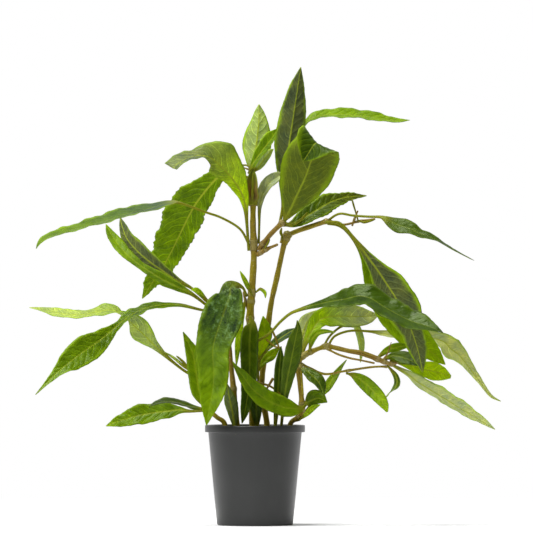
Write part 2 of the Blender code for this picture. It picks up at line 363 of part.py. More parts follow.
class LeafPath:
    """A leaf's midrib, read by its share of the length from stalk to tip."""

    def __init__(self, leaf):
        self.leaf = leaf
        self.samples = smooth_stations(leaf.stations)
        self.measure()
        for length, values in zip(self.lengths, self.samples):
            values[1] += leaf.sweep * (length / self.length) ** SWEEP_BEND
        self.measure()
        self.blade_start = self.first_blade_share()

    def measure(self):
        self.lengths = [0.0]
        for before, after in zip(self.samples, self.samples[1:]):
            step = (Vector(after[:3]) - Vector(before[:3])).length
            self.lengths.append(self.lengths[-1] + step)
        self.length = self.lengths[-1]

    def first_blade_share(self):
        """Where the stalk ends: the last place before the leaf is wider than a stalk."""
        for length, values in zip(self.lengths, self.samples):
            if values[4] > WIDEST_PETIOLE:
                return length / self.length
        return 1.0

    def read(self, share):
        wanted = min(max(share, 0.0), 1.0) * self.length
        index = 0
        while index < len(self.lengths) - 2 and self.lengths[index + 1] < wanted:
            index += 1
        span = self.lengths[index + 1] - self.lengths[index]
        t = (wanted - self.lengths[index]) / span
        start = self.samples[index]
        end = self.samples[index + 1]
        return [a + (b - a) * t for a, b in zip(start, end)]

    def frame(self, share):
        """Point, direction across the blade and the upper side's normal."""
        step = 0.5 / len(self.samples)
        here = self.read(share)
        tangent = Vector(self.read(share + step)[:3]) - Vector(self.read(share - step)[:3])
        tangent.normalize()
        front = Vector((0.0, -1.0, 0.0))
        front -= tangent * front.dot(tangent)
        front.normalize()
        outward = tangent.cross(front) * self.leaf.side
        angle = math.radians(here[3])
        normal = outward * math.cos(angle) + front * math.sin(angle)
        across = normal.cross(tangent).normalized() * -self.leaf.side
        return Vector(here[:3]), across, normal

    def blade_share(self, share):
        return max(0.0, (share - self.blade_start) / (1.0 - self.blade_start))

    def half_width(self, share, side):
        """The midrib is off the middle by the leaf's lean."""
        width = max(TIP_WIDTH, self.read(share)[4])
        strength = min(1.0, 3 * self.blade_share(share))
        return width / 2 * (1 + self.leaf.lean * strength * (1 if side > 0 else -1))

    def thickness(self, share):
        blade = min(1.0, 4 * self.blade_share(share))
        return PETIOLE_THICKNESS + (BLADE_THICKNESS - PETIOLE_THICKNESS) * blade

    def point(self, share, side):
        """A point of the blade; side is 1 at the outer margin and -1 at the inner one."""
        centre, across, normal = self.frame(share)
        half = self.half_width(share, side)
        strength = min(1.0, 3 * self.blade_share(share))
        tilt = math.radians(self.leaf.fold + self.leaf.curl * abs(side) / 2) * strength
        return centre + across * (half * side * math.cos(tilt)) + normal * (half * abs(side) * math.sin(tilt))


def leaf_steps(path):
    return max(FEWEST_LEAF_STEPS, min(MOST_LEAF_STEPS, round(path.length * LEAF_STEPS_PER_MM) + 4))


def make_leaf(leaf, collection, finishes):
    """A sheet two cells wide bent along the midrib, thick at the stalk and thin in the blade."""
    path = LeafPath(leaf)
    mesh = bpy.data.meshes.new(leaf.name)
    sheet = bmesh.new()
    bmesh.ops.create_grid(sheet, x_segments=leaf_steps(path), y_segments=2, size=1.0)
    weights = sheet.verts.layers.deform.verify()
    for vertex in sheet.verts:
        share = (vertex.co.x + 1) / 2
        side = vertex.co.y
        vertex[weights][0] = path.thickness(share) / PETIOLE_THICKNESS
        vertex.co = path.point(share, side) * MM
    sheet.to_mesh(mesh)
    sheet.free()
    mesh.shade_smooth()
    blade = add_object(leaf.name, mesh, collection, finishes[leaf.finish])
    group = blade.vertex_groups.new(name="thickness")
    solidify = blade.modifiers.new("thickness", "SOLIDIFY")
    solidify.thickness = PETIOLE_THICKNESS * MM
    solidify.offset = 0.0
    solidify.vertex_group = group.name
    return blade


def make_stem(stem, collection, finishes):
    """A tube along the stem's points, thinner towards its end."""
    samples = smooth_stations(stem.points)
    curve = bpy.data.curves.new(stem.name, "CURVE")
    curve.dimensions = "3D"
    curve.bevel_depth = MM
    curve.bevel_resolution = STEM_SIDES_RESOLUTION
    curve.use_fill_caps = True
    steps = (len(stem.points) - 1) * 2
    spline = curve.splines.new("POLY")
    spline.points.add(steps)
    for index in range(steps + 1):
        share = index / steps
        values = samples[round(share * (len(samples) - 1))]
        spline.points[index].co = (*(Vector(values) * MM), 1.0)
        spline.points[index].radius = stem.radii[0] + (stem.radii[1] - stem.radii[0]) * share
    spline.use_smooth = True
    return add_object(stem.name, curve, collection, finishes[stem.finish])


def turned(name, profile, collection, finish):
    """A profile in millimetres, outer side first from the top down, turned about +Z."""
    mesh = bpy.data.meshes.new(name)
    outline = bmesh.new()
    points = [outline.verts.new((radius * MM, 0.0, height * MM)) for radius, height in profile]
    for start, end in zip(points, points[1:]):
        outline.edges.new((start, end))
    outline.to_mesh(mesh)
    outline.free()
    thing = add_object(name, mesh, collection, finish)
    screw = thing.modifiers.new("turn", "SCREW")
    screw.axis = "Z"
    screw.steps = POT_SIDES
    screw.render_steps = POT_SIDES
    screw.use_merge_vertices = True
    screw.merge_threshold = 0.00001
    return thing


def pot_radius(height):
    """The pot's outer radius below its rim."""
    top = POT_TOP_DIAMETER / 2 - RIM_OVERHANG
    foot = POT_FOOT_DIAMETER / 2
    return foot + (top - foot) * height / POT_HEIGHT


def make_pot(collection, finishes):
    rim = POT_TOP_DIAMETER / 2
    under_rim = POT_HEIGHT - RIM_HEIGHT
    profile = (
        (rim - POT_WALL, POT_HEIGHT), (rim - RIM_EDGE, POT_HEIGHT), (rim, POT_HEIGHT - RIM_EDGE),
        (rim, under_rim), (pot_radius(under_rim), under_rim), (pot_radius(FOOT_EDGE), FOOT_EDGE),
        (pot_radius(0.0) - FOOT_EDGE, 0.0), (0.0, 0.0))
    inside = (
        (0.0, POT_FLOOR), (pot_radius(POT_FLOOR) - POT_WALL, POT_FLOOR),
        (pot_radius(under_rim) - POT_WALL, under_rim), (rim - POT_WALL, POT_HEIGHT))
    pot = turned("pot", profile + inside, collection, finishes["pot"])
    pot.data.shade_smooth()
    pot.data.set_sharp_from_angle(angle=math.radians(35))
    return pot


def make_plug(collection, cutters, finishes):
    """The wool fills the pot to just below the rim, with a hole round the foot of each stem."""
    top = POT_HEIGHT - PLUG_BELOW_RIM
    foot = POT_FLOOR + GAP
    clearance = POT_WALL + PLUG_SIDE_CLEARANCE
    top_radius = pot_radius(min(top, POT_HEIGHT - RIM_HEIGHT)) - clearance
    profile = (
        (0.0, top), (top_radius - PLUG_EDGE, top), (top_radius, top - PLUG_EDGE),
        (pot_radius(foot) - clearance, foot), (0.0, foot))
    plug = turned("rock_wool_plug", profile, collection, finishes["wool"])
    for stem in STEMS:
        if not stem.in_plug:
            continue
        x, y, bottom = stem.points[0]
        depth = 2 * (top - bottom) + 2 * GAP
        bpy.ops.mesh.primitive_cylinder_add(
            vertices=HOLE_SIDES, radius=(stem.radii[0] / math.cos(math.pi / HOLE_SIDES) + GAP) * MM,
            depth=depth * MM,
            location=(x * MM, y * MM, top * MM))
        cutter = bpy.context.object
        cutter.name = "hole_for_" + stem.name
        for collection_now in list(cutter.users_collection):
            collection_now.objects.unlink(cutter)
        cutters.objects.link(cutter)
        cutter.hide_render = True
        cutter.display_type = "WIRE"
        cut = plug.modifiers.new(cutter.name, "BOOLEAN")
        cut.operation = "DIFFERENCE"
        cut.object = cutter
    return plug


def main():
    clear_scene()
    plant, cutters = make_collections()
    finishes = make_finishes()
    make_pot(plant, finishes)
    make_plug(plant, cutters, finishes)
    for stem in STEMS:
        make_stem(stem, plant, finishes)
    for leaf in LEAVES:
        make_leaf(leaf, plant, finishes)


main()
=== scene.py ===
"""Dresses the potted temple plant: veined leaves, ringed stems, the wool plug, the pot and the studio.

The tables are in millimetres, as in the part's source, and meshes are made in metres. A leaf follows its
stations: x, y, z, the angle that its upper side is turned from looking outwards towards the front, and the
width there. Its sweep is how far the tip swings to the back, or to the front where it is below zero. Its
lean makes one half of the blade wider. A stem follows its points, from its first radius to its second.
"""
import math
from collections import namedtuple

import bpy
import numpy as np
from bpy.props import FloatProperty, FloatVectorProperty, IntProperty, PointerProperty
from bpy.types import Operator, Panel, PropertyGroup
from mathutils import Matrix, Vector


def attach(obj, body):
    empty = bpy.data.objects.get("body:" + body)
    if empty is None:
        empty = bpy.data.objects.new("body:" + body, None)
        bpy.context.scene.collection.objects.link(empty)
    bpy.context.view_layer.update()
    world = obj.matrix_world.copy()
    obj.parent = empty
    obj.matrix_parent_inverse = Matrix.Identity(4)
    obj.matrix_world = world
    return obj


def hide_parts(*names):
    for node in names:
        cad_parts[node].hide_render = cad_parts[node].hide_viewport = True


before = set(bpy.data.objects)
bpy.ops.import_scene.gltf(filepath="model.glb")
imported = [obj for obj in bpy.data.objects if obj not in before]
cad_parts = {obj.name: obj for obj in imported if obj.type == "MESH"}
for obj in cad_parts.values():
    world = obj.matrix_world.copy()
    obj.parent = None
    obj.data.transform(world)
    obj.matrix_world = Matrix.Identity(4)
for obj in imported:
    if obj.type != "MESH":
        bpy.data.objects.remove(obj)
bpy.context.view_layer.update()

bl_info = {
    "name": "Potted Temple Plant",
    "version": (1, 0, 0),
    "blender": (4, 5, 0),
    "location": "3D Viewport > Sidebar > Temple Plant",
    "description": "Builds a potted temple plant with veined leaves, its wool plug, its pot and a studio",
    "category": "Add Mesh",
}

MM = 0.001
IMAGE_PIXELS = 533

LEFT = 1
RIGHT = -1

Stem = namedtuple("Stem", "name brown radii points")
Leaf = namedtuple("Leaf", "name slot side sweep fold curl look stations lean", defaults=(0.0,))

# How a leaf looks: its upper side's tone at the stalk and at the tip, its underside's tone, how far its
# margins wave and how deep their teeth are, both in millimetres, then how clear its veins are, how strong its
# lime rim of painted light let through the margin is, and how crumpled its foot is, which also sets the
# painted shade in the dips of its wrinkles and the painted glints on their tops.
Look = namedtuple("Look", "upper tip under wave teeth veins rim crumple", defaults=(0.6, 0.35, 0.0))
PLAIN = Look("bright", "lime", "pale", 0.1, 0.05)

# Leaf tones in linear colour. The sheen tone and the bluish green after it paint a bluish sheen; the
# brightest lime is lime brightened to paint light let through a leaf that lies in shade; the deep and dusk
# greens are dark leaf colour darkened further to paint the shade on leaves that lie under others.
TONES = {
    "green": (0.11, 0.2, 0.003), "bright": (0.155, 0.27, 0.003), "lime": (0.27, 0.43, 0.004),
    "lime_with_painted_light": (0.42, 0.62, 0.004), "sheen": (0.042, 0.085, 0.036), "green_with_painted_sheen": (0.082, 0.16, 0.02),
    "deep": (0.036, 0.074, 0.003), "dusk": (0.055, 0.1, 0.003), "brown_green": (0.085, 0.11, 0.01),
    "olive": (0.135, 0.175, 0.02), "slate": (0.09, 0.11, 0.042), "grey": (0.135, 0.17, 0.065),
    "pale": (0.3, 0.38, 0.12), "milk": (0.4, 0.46, 0.22), "bark": (0.21, 0.15, 0.04)
}

STEMS = (
    Stem("main_stem", 0.15, (2.1, 1.4), ((-1, 0, 36), (-1, 0, 50), (-2, -0.5, 80), (-2.5, -0.5, 102),
        (-1.5, 0, 118), (-0.5, 0, 136), (-1, 0, 149), (-1, 0, 162), (-1.5, 0, 176))),
    Stem("upper_right_branch", 0.9, (1.35, 1.2), ((2.4, 0, 138.3), (7.5, -1, 145), (14, -2, 151.5))),
    Stem("second_stem", 0.2, (1.6, 1.3), ((6, 9, 36), (6, 9, 50), (4, 9, 62), (3.5, 9, 73), (7.5, 8, 107),
        (11, 7, 124), (15, 6, 142.5), (15.8, 6, 144.5))),
    Stem("second_stem_branch", 0.45, (1.25, 1.2), ((17.3, 6.5, 145.4), (22.5, 5, 147.5), (30, 4, 150),
        (36, 3, 152))),
    Stem("side_twig", 0.9, (0.6, 0.5), ((36.6, 4.9, 152.3), (44, 7, 150.2), (52.5, 7, 152), (60, 7, 153))),
    Stem("third_stem", 0.35, (1.3, 1.2), ((17.5, -2.5, 36), (17.5, -2.5, 50), (22, -2.5, 54),
        (23.5, -2.5, 58), (23, -2.5, 66), (21.5, -2.5, 79.5), (24, -2.5, 84.5), (30, -2.5, 87.5),
        (35.5, -2.5, 89.5))),
    Stem("low_right_branch", 0.8, (1.2, 0.9), ((36.5, -2.8, 89.5), (45, -4.5, 87.5), (53.5, -5, 85.5),
        (63.5, -5, 82), (68.5, -5, 80.3))),
    Stem("thin_twig", 0.2, (0.6, 0.55), ((23.5, -2, 80.4), (27.5, -2, 78.5), (35, -1.5, 75.5), (45, -1.5, 77),
        (58.5, -1.5, 79), (66, -1.5, 79.2))),
    Stem("fourth_stem", 0.6, (1.4, 1.2), ((-9, 3, 36), (-9, 3, 50), (-11.5, 3, 75), (-13.5, 3, 92),
        (-16.5, 3, 101.5), (-20, 3, 108), (-23.5, 3, 111))),
    Stem("low_left_stem", 0.4, (1.3, 1.1), ((-15, -4, 36), (-15, -4, 50), (-19, -5, 54), (-24.5, -6, 58.5))),
)

TOP_LEAVES = (
    Leaf("spoon_shaped_top_leaf", "leaf_olive", RIGHT, -14, 8, 10,
        Look("deep", "deep", "olive", 0.3, 0.25, 0.7, 0.55), (
        (14.5, -2.3, 152.1, -80, 1.5), (17.5, -4, 157.5, -80, 8), (21, -6, 165, -80, 19),
        (25, -8, 173.5, -82, 27), (28, -9, 182, -88, 27.5), (30.3, -9.3, 187.5, -102, 25.5),
        (31.2, -10.1, 190, -130, 24.5), (30.3, -11.6, 190.6, -238, 23), (28.5, -12.1, 188.6, -256, 18.5),
        (26.3, -11, 185, -256, 11), (24, -9.6, 181.6, -256, 0.5))),
    Leaf("toothed_right_leaf", "leaf_mid", RIGHT, 16, 8, 0,
        Look("dusk", "brown_green", "olive", 0.3, 0.9, 0.7, 0.7), (
        (15.4, -1.5, 149.9, 60, 1.5), (19, -0.5, 150.5, 60, 4.5), (24, 0.5, 153.3, 60, 8.5),
        (31.5, 1.5, 157.8, 60, 11.5), (38, 2, 161.5, 60, 10.5), (45, 2, 163.8, 60, 6.3),
        (51, 1.5, 164.5, 55, 3.5), (56, 1, 164.8, 55, 0.5))),
    Leaf("tall_top_leaf", "leaf_olive", RIGHT, 14, 8, 10,
        Look("green", "green", "slate", 0.4, 0.2, 0.6, 0.6), (
        (12.7, -0.4, 152.5, -80, 1.5), (14.3, 2, 160, -80, 2.5), (15.5, 4, 170, -80, 7),
        (16, 6, 180, -80, 11), (17, 7.5, 190, -80, 15), (18.5, 8.5, 200, -80, 15), (20, 9, 210, -80, 12.5),
        (21.5, 9, 220, -75, 8), (23, 9, 229.5, -70, 0.5))),
    Leaf("arching_top_leaf", "leaf_mid", RIGHT, 26, 8, 6, Look("bright", "bright", "grey", 0.4, 0.2), (
        (15, -0.4, 151.5, 20, 1.5), (18.5, 5, 165, 20, 1.6), (20.5, 11, 180, 20, 2.5),
        (21.6, 14.5, 190, 20, 3.5), (23.8, 16, 198.5, 22, 5), (28.8, 15.5, 203.8, 25, 7.5),
        (37.5, 14, 205.6, 25, 11.5), (47.5, 12, 205.5, 25, 12), (57.5, 10, 204.5, 25, 11.5),
        (66.5, 8, 203, 25, 8.5), (72.5, 6.5, 202.5, 25, 5.5), (78, 5, 203, 25, 0.5))),
    Leaf("pale_apex_leaf", "leaf_pale", LEFT, 5, 10, 10, Look("bright", "lime", "pale", 0.4, 0.15, 0.9, 1), (
        (-1.8, 0.9, 176.7, -85, 1.5), (-1, 1.5, 181.5, -85, 7.5), (0.3, 2, 187.5, -85, 14),
        (1, 2.5, 192.5, -85, 15), (1.5, 3, 197.5, -85, 12.8), (2, 3.5, 202.5, -85, 9), (2, 4, 207, -85, 5),
        (2, 4, 210.5, -85, 0.5))),
    Leaf("folded_apex_leaf", "leaf_mid", RIGHT, -6, 20, 0,
        Look("green", "green", "pale", 0.3, 0.2, 0.7, 0.8), (
        (-2.6, -1.2, 176.9, 45, 1.5), (-0.5, -2.5, 181, 45, 4.5), (2.5, -4, 185.5, 45, 7.5),
        (6, -5, 190, 45, 9), (9, -5.7, 194, 45, 7.5), (11.3, -6, 198, 45, 0.5))),
    Leaf("small_apex_leaf", "leaf_pale", RIGHT, 4, 10, 0, Look("bright", "lime", "pale", 0.2, 0.15, 0.7, 1), (
        (-0.5, -0.2, 176.9, -70, 1.4), (2, -0.8, 179.5, -70, 4), (4.5, -0.8, 183, -70, 5),
        (7, -0.6, 186, -70, 4), (9.2, -0.5, 188, -70, 0.5))),
    Leaf("stem_side_leaf", "leaf_dark", RIGHT, 6, 25, 0, Look("milk", "milk", "grey", 0.4, 0.2, 0.5, 0.2), (
        (1.9, 0.8, 142, 30, 1.3), (2.1, 1, 150, 40, 1.3), (2.3, 0.6, 158, 50, 2.5), (3.8, 0, 165, 60, 5.5),
        (7, -1, 170.5, 60, 8), (11.5, -1.5, 174, 60, 6), (15, -1.5, 175.5, 60, 1))),
)

LEFT_LEAVES = (
    Leaf("long_left_leaf", "leaf_mid", LEFT, -26, 6, 8,
        Look("sheen", "green", "olive", 0.4, 0.15, 0.2, 0.6), (
        (-3.2, 0.5, 140.5, 30, 1.4), (-7.5, 1.5, 148, 20, 1.4), (-16.5, 1.5, 153.5, 15, 1.4),
        (-25, 0.5, 156.5, 15, 1.4), (-37.5, -1, 161, 15, 2.2), (-42.5, -2, 161, 18, 9),
        (-52.5, -4, 158.2, 18, 15), (-62.5, -6, 155.7, 18, 17), (-72.5, -8, 152.5, 18, 16.5),
        (-82.5, -10, 149.8, 18, 13), (-92.5, -12, 146.8, 18, 11.5), (-101.5, -14, 144, 18, 9.5),
        (-106, -16, 141, 20, 5), (-108.2, -17, 138, 20, 0.5))),
    # Its lime stalk end is brightened to paint light let through it, and its grey tip paints the pale sheen
    # there.
    Leaf("curled_upper_left_leaf", "leaf_mid", LEFT, -14, 8, 0,
        Look("lime_with_painted_light", "grey", "olive", 0.6, 0.3, 0.9, 0.4), (
        (-3.2, -1.8, 138.5, 80, 1.5), (-4, -2.2, 150, 80, 1.6), (-4.6, -2.5, 157.5, 80, 2.6),
        (-6, -3.2, 164, 80, 5.5), (-8.5, -4.4, 169, 80, 9), (-11.5, -5.4, 173.3, 80, 12),
        (-15, -6.2, 177.2, 80, 15.5), (-18.8, -7, 180.8, 76, 18.5), (-22, -7.8, 183.2, 56, 14.5),
        (-26.5, -9, 184.5, 32, 11), (-32, -10.8, 183.5, 25, 10.5), (-37, -12.4, 181.2, 34, 10.5),
        (-40.8, -13.6, 178, 48, 8.5)), lean=0.3),
    Leaf("hanging_back_left_leaf", "leaf_mid", LEFT, 28, 6, 6,
        Look("green", "bright", "olive", 1.1, 1.1, 1.1, 0.3), (
        (-3.3, 1, 173.5, 60, 1.5), (-7.5, 4, 175.5, 60, 1.5), (-13, 7, 176, 65, 3), (-19.5, 9, 173, 70, 9),
        (-28.5, 11, 162.5, 75, 18), (-33, 12, 155, 75, 21), (-37.5, 13, 146, 75, 19.5),
        (-42.5, 14, 136, 75, 16.5), (-47, 14, 128, 75, 13), (-52.5, 14, 120, 75, 7),
        (-57, 14, 113, 75, 0.5)), lean=0.2),
    Leaf("grey_backed_left_leaf", "leaf_olive", LEFT, 26, 8, 0,
        Look("green", "green", "slate", 0.3, 0.15, 0.8, 0.5), (
        (-23.9, 3, 111.5, -60, 1.5), (-31.5, 3, 118.2, -60, 1.6), (-38.5, 3, 122, -65, 3.5),
        (-46, 3, 127, -65, 6.5), (-52.5, 3.5, 131.5, -65, 8.8), (-59, 4.5, 137, -65, 10),
        (-64.5, 5.5, 143.5, -65, 7.5), (-67, 7, 150, -65, 4), (-68, 8, 154, -65, 0.5))),
    Leaf("bright_left_leaf", "leaf_lime", LEFT, 20, 8, 0,
        Look("green", "bright", "slate", 0.3, 0.2, 0.4, 0.9), (
        (-24.5, 1.3, 110.1, 60, 1.5), (-31.5, -0.5, 115.4, 60, 2.4), (-38.5, -1.3, 118.8, 60, 5),
        (-46, -1.6, 122.5, 60, 7), (-52.5, -1.5, 126.5, 60, 5.5), (-58.5, -1, 130.5, 60, 4.5),
        (-64, 0, 135, 60, 6.2), (-68.5, 2, 140, 60, 6.8), (-72.5, 4, 145.5, 60, 5),
        (-75, 6, 150.5, 60, 0.5))),
    Leaf("large_front_leaf", "leaf_mid", LEFT, -14, 6, 8,
        Look("green_with_painted_sheen", "bright", "olive", 0.6, 0.3, 0.25, 0.35, 1), (
        (-4.6, -1, 115.5, 60, 1.5), (-6, -4, 118.5, 60, 1.5), (-9, -7, 120, 62, 4), (-12, -10, 118.8, 70, 9),
        (-12.6, -12, 114.5, 80, 13.5), (-14.8, -13.5, 108.5, 85, 19.5), (-16.8, -14.5, 102.5, 85, 21),
        (-19.4, -15.5, 95, 85, 19.2), (-21, -16, 87.5, 85, 17.2), (-20.5, -16.5, 77.5, 85, 16),
        (-20.8, -17, 70, 85, 14.5), (-22, -17.5, 62.5, 85, 11), (-23.2, -18, 56, 85, 5.5),
        (-24, -18.5, 50.5, 85, 0.5))),
    Leaf("twisted_pale_left_leaf", "leaf_lime", LEFT, 38, 8, 0,
        Look("green", "pale", "pale", 0.4, 0.15, 0.7, 0.6), (
        (-12.8, 3.7, 68.1, -40, 1.4), (-22, 6, 71.5, -40, 1.4), (-33, 6, 75.5, -45, 1.5),
        (-42.5, 5, 82.5, -50, 2), (-50, 5, 89.5, -60, 5.2), (-55, 5, 94.5, -60, 11), (-60, 5, 99, -55, 13.5),
        (-65, 5, 103.8, -15, 12), (-71.5, 4, 107, 25, 11), (-77.5, 3, 106.8, 35, 9.5),
        (-83.5, 3, 105.5, 35, 6.5), (-90, 2, 104.8, 35, 7), (-97.5, 2, 105.5, 35, 8.8),
        (-105, 2, 107, 35, 5.3), (-110, 2, 108, 35, 2.6), (-114, 2, 108.5, 35, 0.5))),
    Leaf("drooping_left_leaf", "leaf_mid", LEFT, -32, 6, 6,
        Look("green", "green", "grey", 0.6, 0.2, 0.6, 0.7), (
        (-21.7, 1.9, 106.7, 30, 1.5), (-27, 0, 107.6, 30, 1.6), (-36.5, -2, 109.8, 25, 3.8),
        (-45, -4, 110, 25, 6.5), (-52.5, -5, 109, 25, 9.5), (-57.5, -6, 107.2, 25, 10.5),
        (-62.5, -7, 104.5, 28, 9), (-66.5, -7.5, 101.5, 45, 5.5), (-70, -8, 98.5, 65, 5),
        (-73.5, -9, 95.5, 75, 8), (-78.5, -10, 91.5, 75, 12.4), (-85, -12, 87, 75, 15),
        (-91.5, -13, 82, 70, 12), (-97.5, -14, 77, 65, 6), (-102.5, -15, 72, 60, 2.8),
        (-108.3, -16, 66, 55, 0.5))),
    Leaf("small_left_upright_leaf", "leaf_lime", LEFT, 8, 8, 0,
        Look("bright", "bright", "grey", 0.3, 0.2, 0.4, 0.5), (
        (-25.1, -6, 59.4, 80, 1.5), (-27.8, -5, 66.5, 80, 8), (-29.3, -4, 75, 80, 8.6),
        (-31, -3, 85, 80, 7.6), (-33.5, -2.5, 91, 80, 4.2), (-36, -2, 96.5, 80, 0.5))),
    Leaf("low_left_dark_leaf", "leaf_dark", LEFT, -18, 8, 0,
        Look("dusk", "deep", "olive", 0.4, 0.15, 0.2, 0.2), (
        (-25.3, -7.2, 58, 25, 1.5), (-32.5, -8, 59.5, 25, 6.5), (-37.5, -8.5, 61.3, 25, 6.5),
        (-42.5, -9, 62, 25, 7), (-47.5, -10, 61.5, 25, 5.8), (-52.5, -11, 59.7, 25, 0.5))),
    Leaf("low_left_broad_leaf", "leaf_mid", LEFT, 14, 8, 0,
        Look("green", "bright", "olive", 0.6, 0.3, 0.7, 0.5), (
        (-25.5, -4.8, 57.3, 40, 1.5), (-32.5, -5, 57, 45, 2), (-37.5, -5.8, 57.5, 55, 4.5),
        (-43.5, -7, 57, 60, 9), (-52.5, -9, 55.8, 60, 11), (-60, -11, 54.3, 60, 11),
        (-67.5, -12.5, 52, 60, 7), (-74.5, -14, 49.5, 60, 0.5))),
)

CENTRE_LEAVES = (
    Leaf("dark_centre_leaf", "leaf_dark", LEFT, -5, 8, 10,
        Look("dusk", "deep", "grey", 0.3, 0.2, 0.25, 0.1), (
        (-2.2, -3.3, 103.3, 80, 1.5), (-1.6, -4.5, 100.5, 80, 4.5), (-2.3, -5.5, 97, 80, 8.2),
        (-2.7, -6.5, 91, 80, 9.3), (-2.6, -7, 82, 80, 9.2), (-2.8, -7.3, 74, 80, 8.2),
        (-3.5, -7.5, 66, 80, 7), (-5, -7.8, 57, 80, 4.5), (-6.5, -8, 51, 80, 0.5))),
    Leaf("low_front_leaf", "leaf_mid", LEFT, -10, 12, 0,
        Look("bright", "green", "olive", 0.4, 0.2, 0.3, 0.4), (
        (24.3, -4.9, 59.3, 60, 1.5), (22, -7, 58.3, 62, 4.8), (17.5, -9, 58.5, 65, 9.5),
        (11.5, -10.5, 60, 65, 11), (4.5, -12, 63.5, 65, 11), (-1.5, -13, 68.5, 65, 8.8),
        (-6, -13, 74.5, 65, 6), (-9.5, -13, 79, 65, 2.5), (-11, -13, 82, 65, 0.5))),
    Leaf("bright_centre_leaf", "leaf_lime", LEFT, -2, 8, 0,
        Look("lime_with_painted_light", "lime", "olive", 0.3, 0.2, 0.4, 0.4), (
        (0.8, 0.9, 82, 70, 1.4), (2.8, 2.2, 87.5, 70, 5), (4.6, 3.5, 93.5, 70, 7.5), (4.8, 4.2, 99, 70, 6.5),
        (4, 5, 104.5, 70, 0.5))),
    Leaf("small_centre_leaf", "leaf_lime", RIGHT, -1, 8, 0, Look("bright", "lime", "olive", 0.2, 0.2), (
        (0.9, 1.2, 76, 70, 1.4), (4, 3.3, 81, 70, 3), (8, 4.6, 84.7, 70, 5.6), (12.5, 4.2, 89, 70, 0.5))),
    Leaf("lime_centre_leaf", "leaf_lime", LEFT, 4, 8, 0, Look("lime", "bright", "pale", 0.2, 0.1), (
        (-4.9, 0.5, 112, 60, 1.4), (-6.8, 0.3, 105, 60, 4), (-7.6, 0.2, 97, 60, 4), (-8.6, -0.3, 88, 60, 3.4),
        (-9.4, -1, 79, 60, 0.5))),
    Leaf("dark_upright_leaf", "leaf_dark", LEFT, -8, 8, 0, Look("dusk", "dusk", "grey", 0.3, 0.2, 0.3, 0.1), (
        (13, -3, 48, 75, 1.5), (14, -5, 58, 75, 2), (14.8, -5.8, 65, 75, 4.2), (16, -7, 73, 75, 6.5),
        (17.5, -8, 80, 75, 8.3), (19, -8.5, 87.5, 75, 8.8), (20.3, -8.5, 94, 75, 7), (21.3, -8.5, 99, 75, 3),
        (21, -8.5, 102.5, 75, 0.5))),
    Leaf("short_dark_upright_leaf", "leaf_dark", LEFT, -4, 8, 0,
        Look("dusk", "deep", "grey", 0.2, 0.15, 0.3, 0.1), (
        (10, -2.5, 48, 75, 1.5), (11, -3, 62.5, 75, 3.6), (11.7, -3.5, 72.5, 75, 5), (12.4, -4, 82, 75, 4.6),
        (13, -4, 89.5, 75, 0.5))),
    Leaf("low_centre_leaf", "leaf_dark", LEFT, -4, 8, 0, Look("deep", "dusk", "olive", 0.3, 0.2, 0.2, 0.1), (
        (1, -4.5, 48, 70, 1.5), (0.5, -5, 60, 70, 7), (-0.5, -4.8, 68, 70, 6), (-1, -4.6, 76, 70, 0.5))),
    Leaf("low_olive_leaf", "leaf_olive", LEFT, -6, 8, 0, Look("green", "green", "grey", 0.3, 0.2, 0.7, 0.5), (
        (-9.8, -2, 48, -70, 1.5), (-11, -2.5, 56, -70, 6), (-12.5, -3, 63, -70, 6.5),
        (-14, -3.5, 71, -70, 0.5))),
    Leaf("grey_small_leaf", "leaf_olive", RIGHT, 4, 8, 0,
        Look("green", "sheen", "grey", 0.3, 0.15, 0.8, 0.4), (
        (1.6, -1, 70.5, 50, 1.3), (2, -1.5, 81, 50, 1.3), (6, -1, 87.5, 50, 2), (11, 0, 92, 50, 5),
        (16, 1, 95.5, 50, 5.5), (21, 2, 98.5, 50, 0.5))),
)

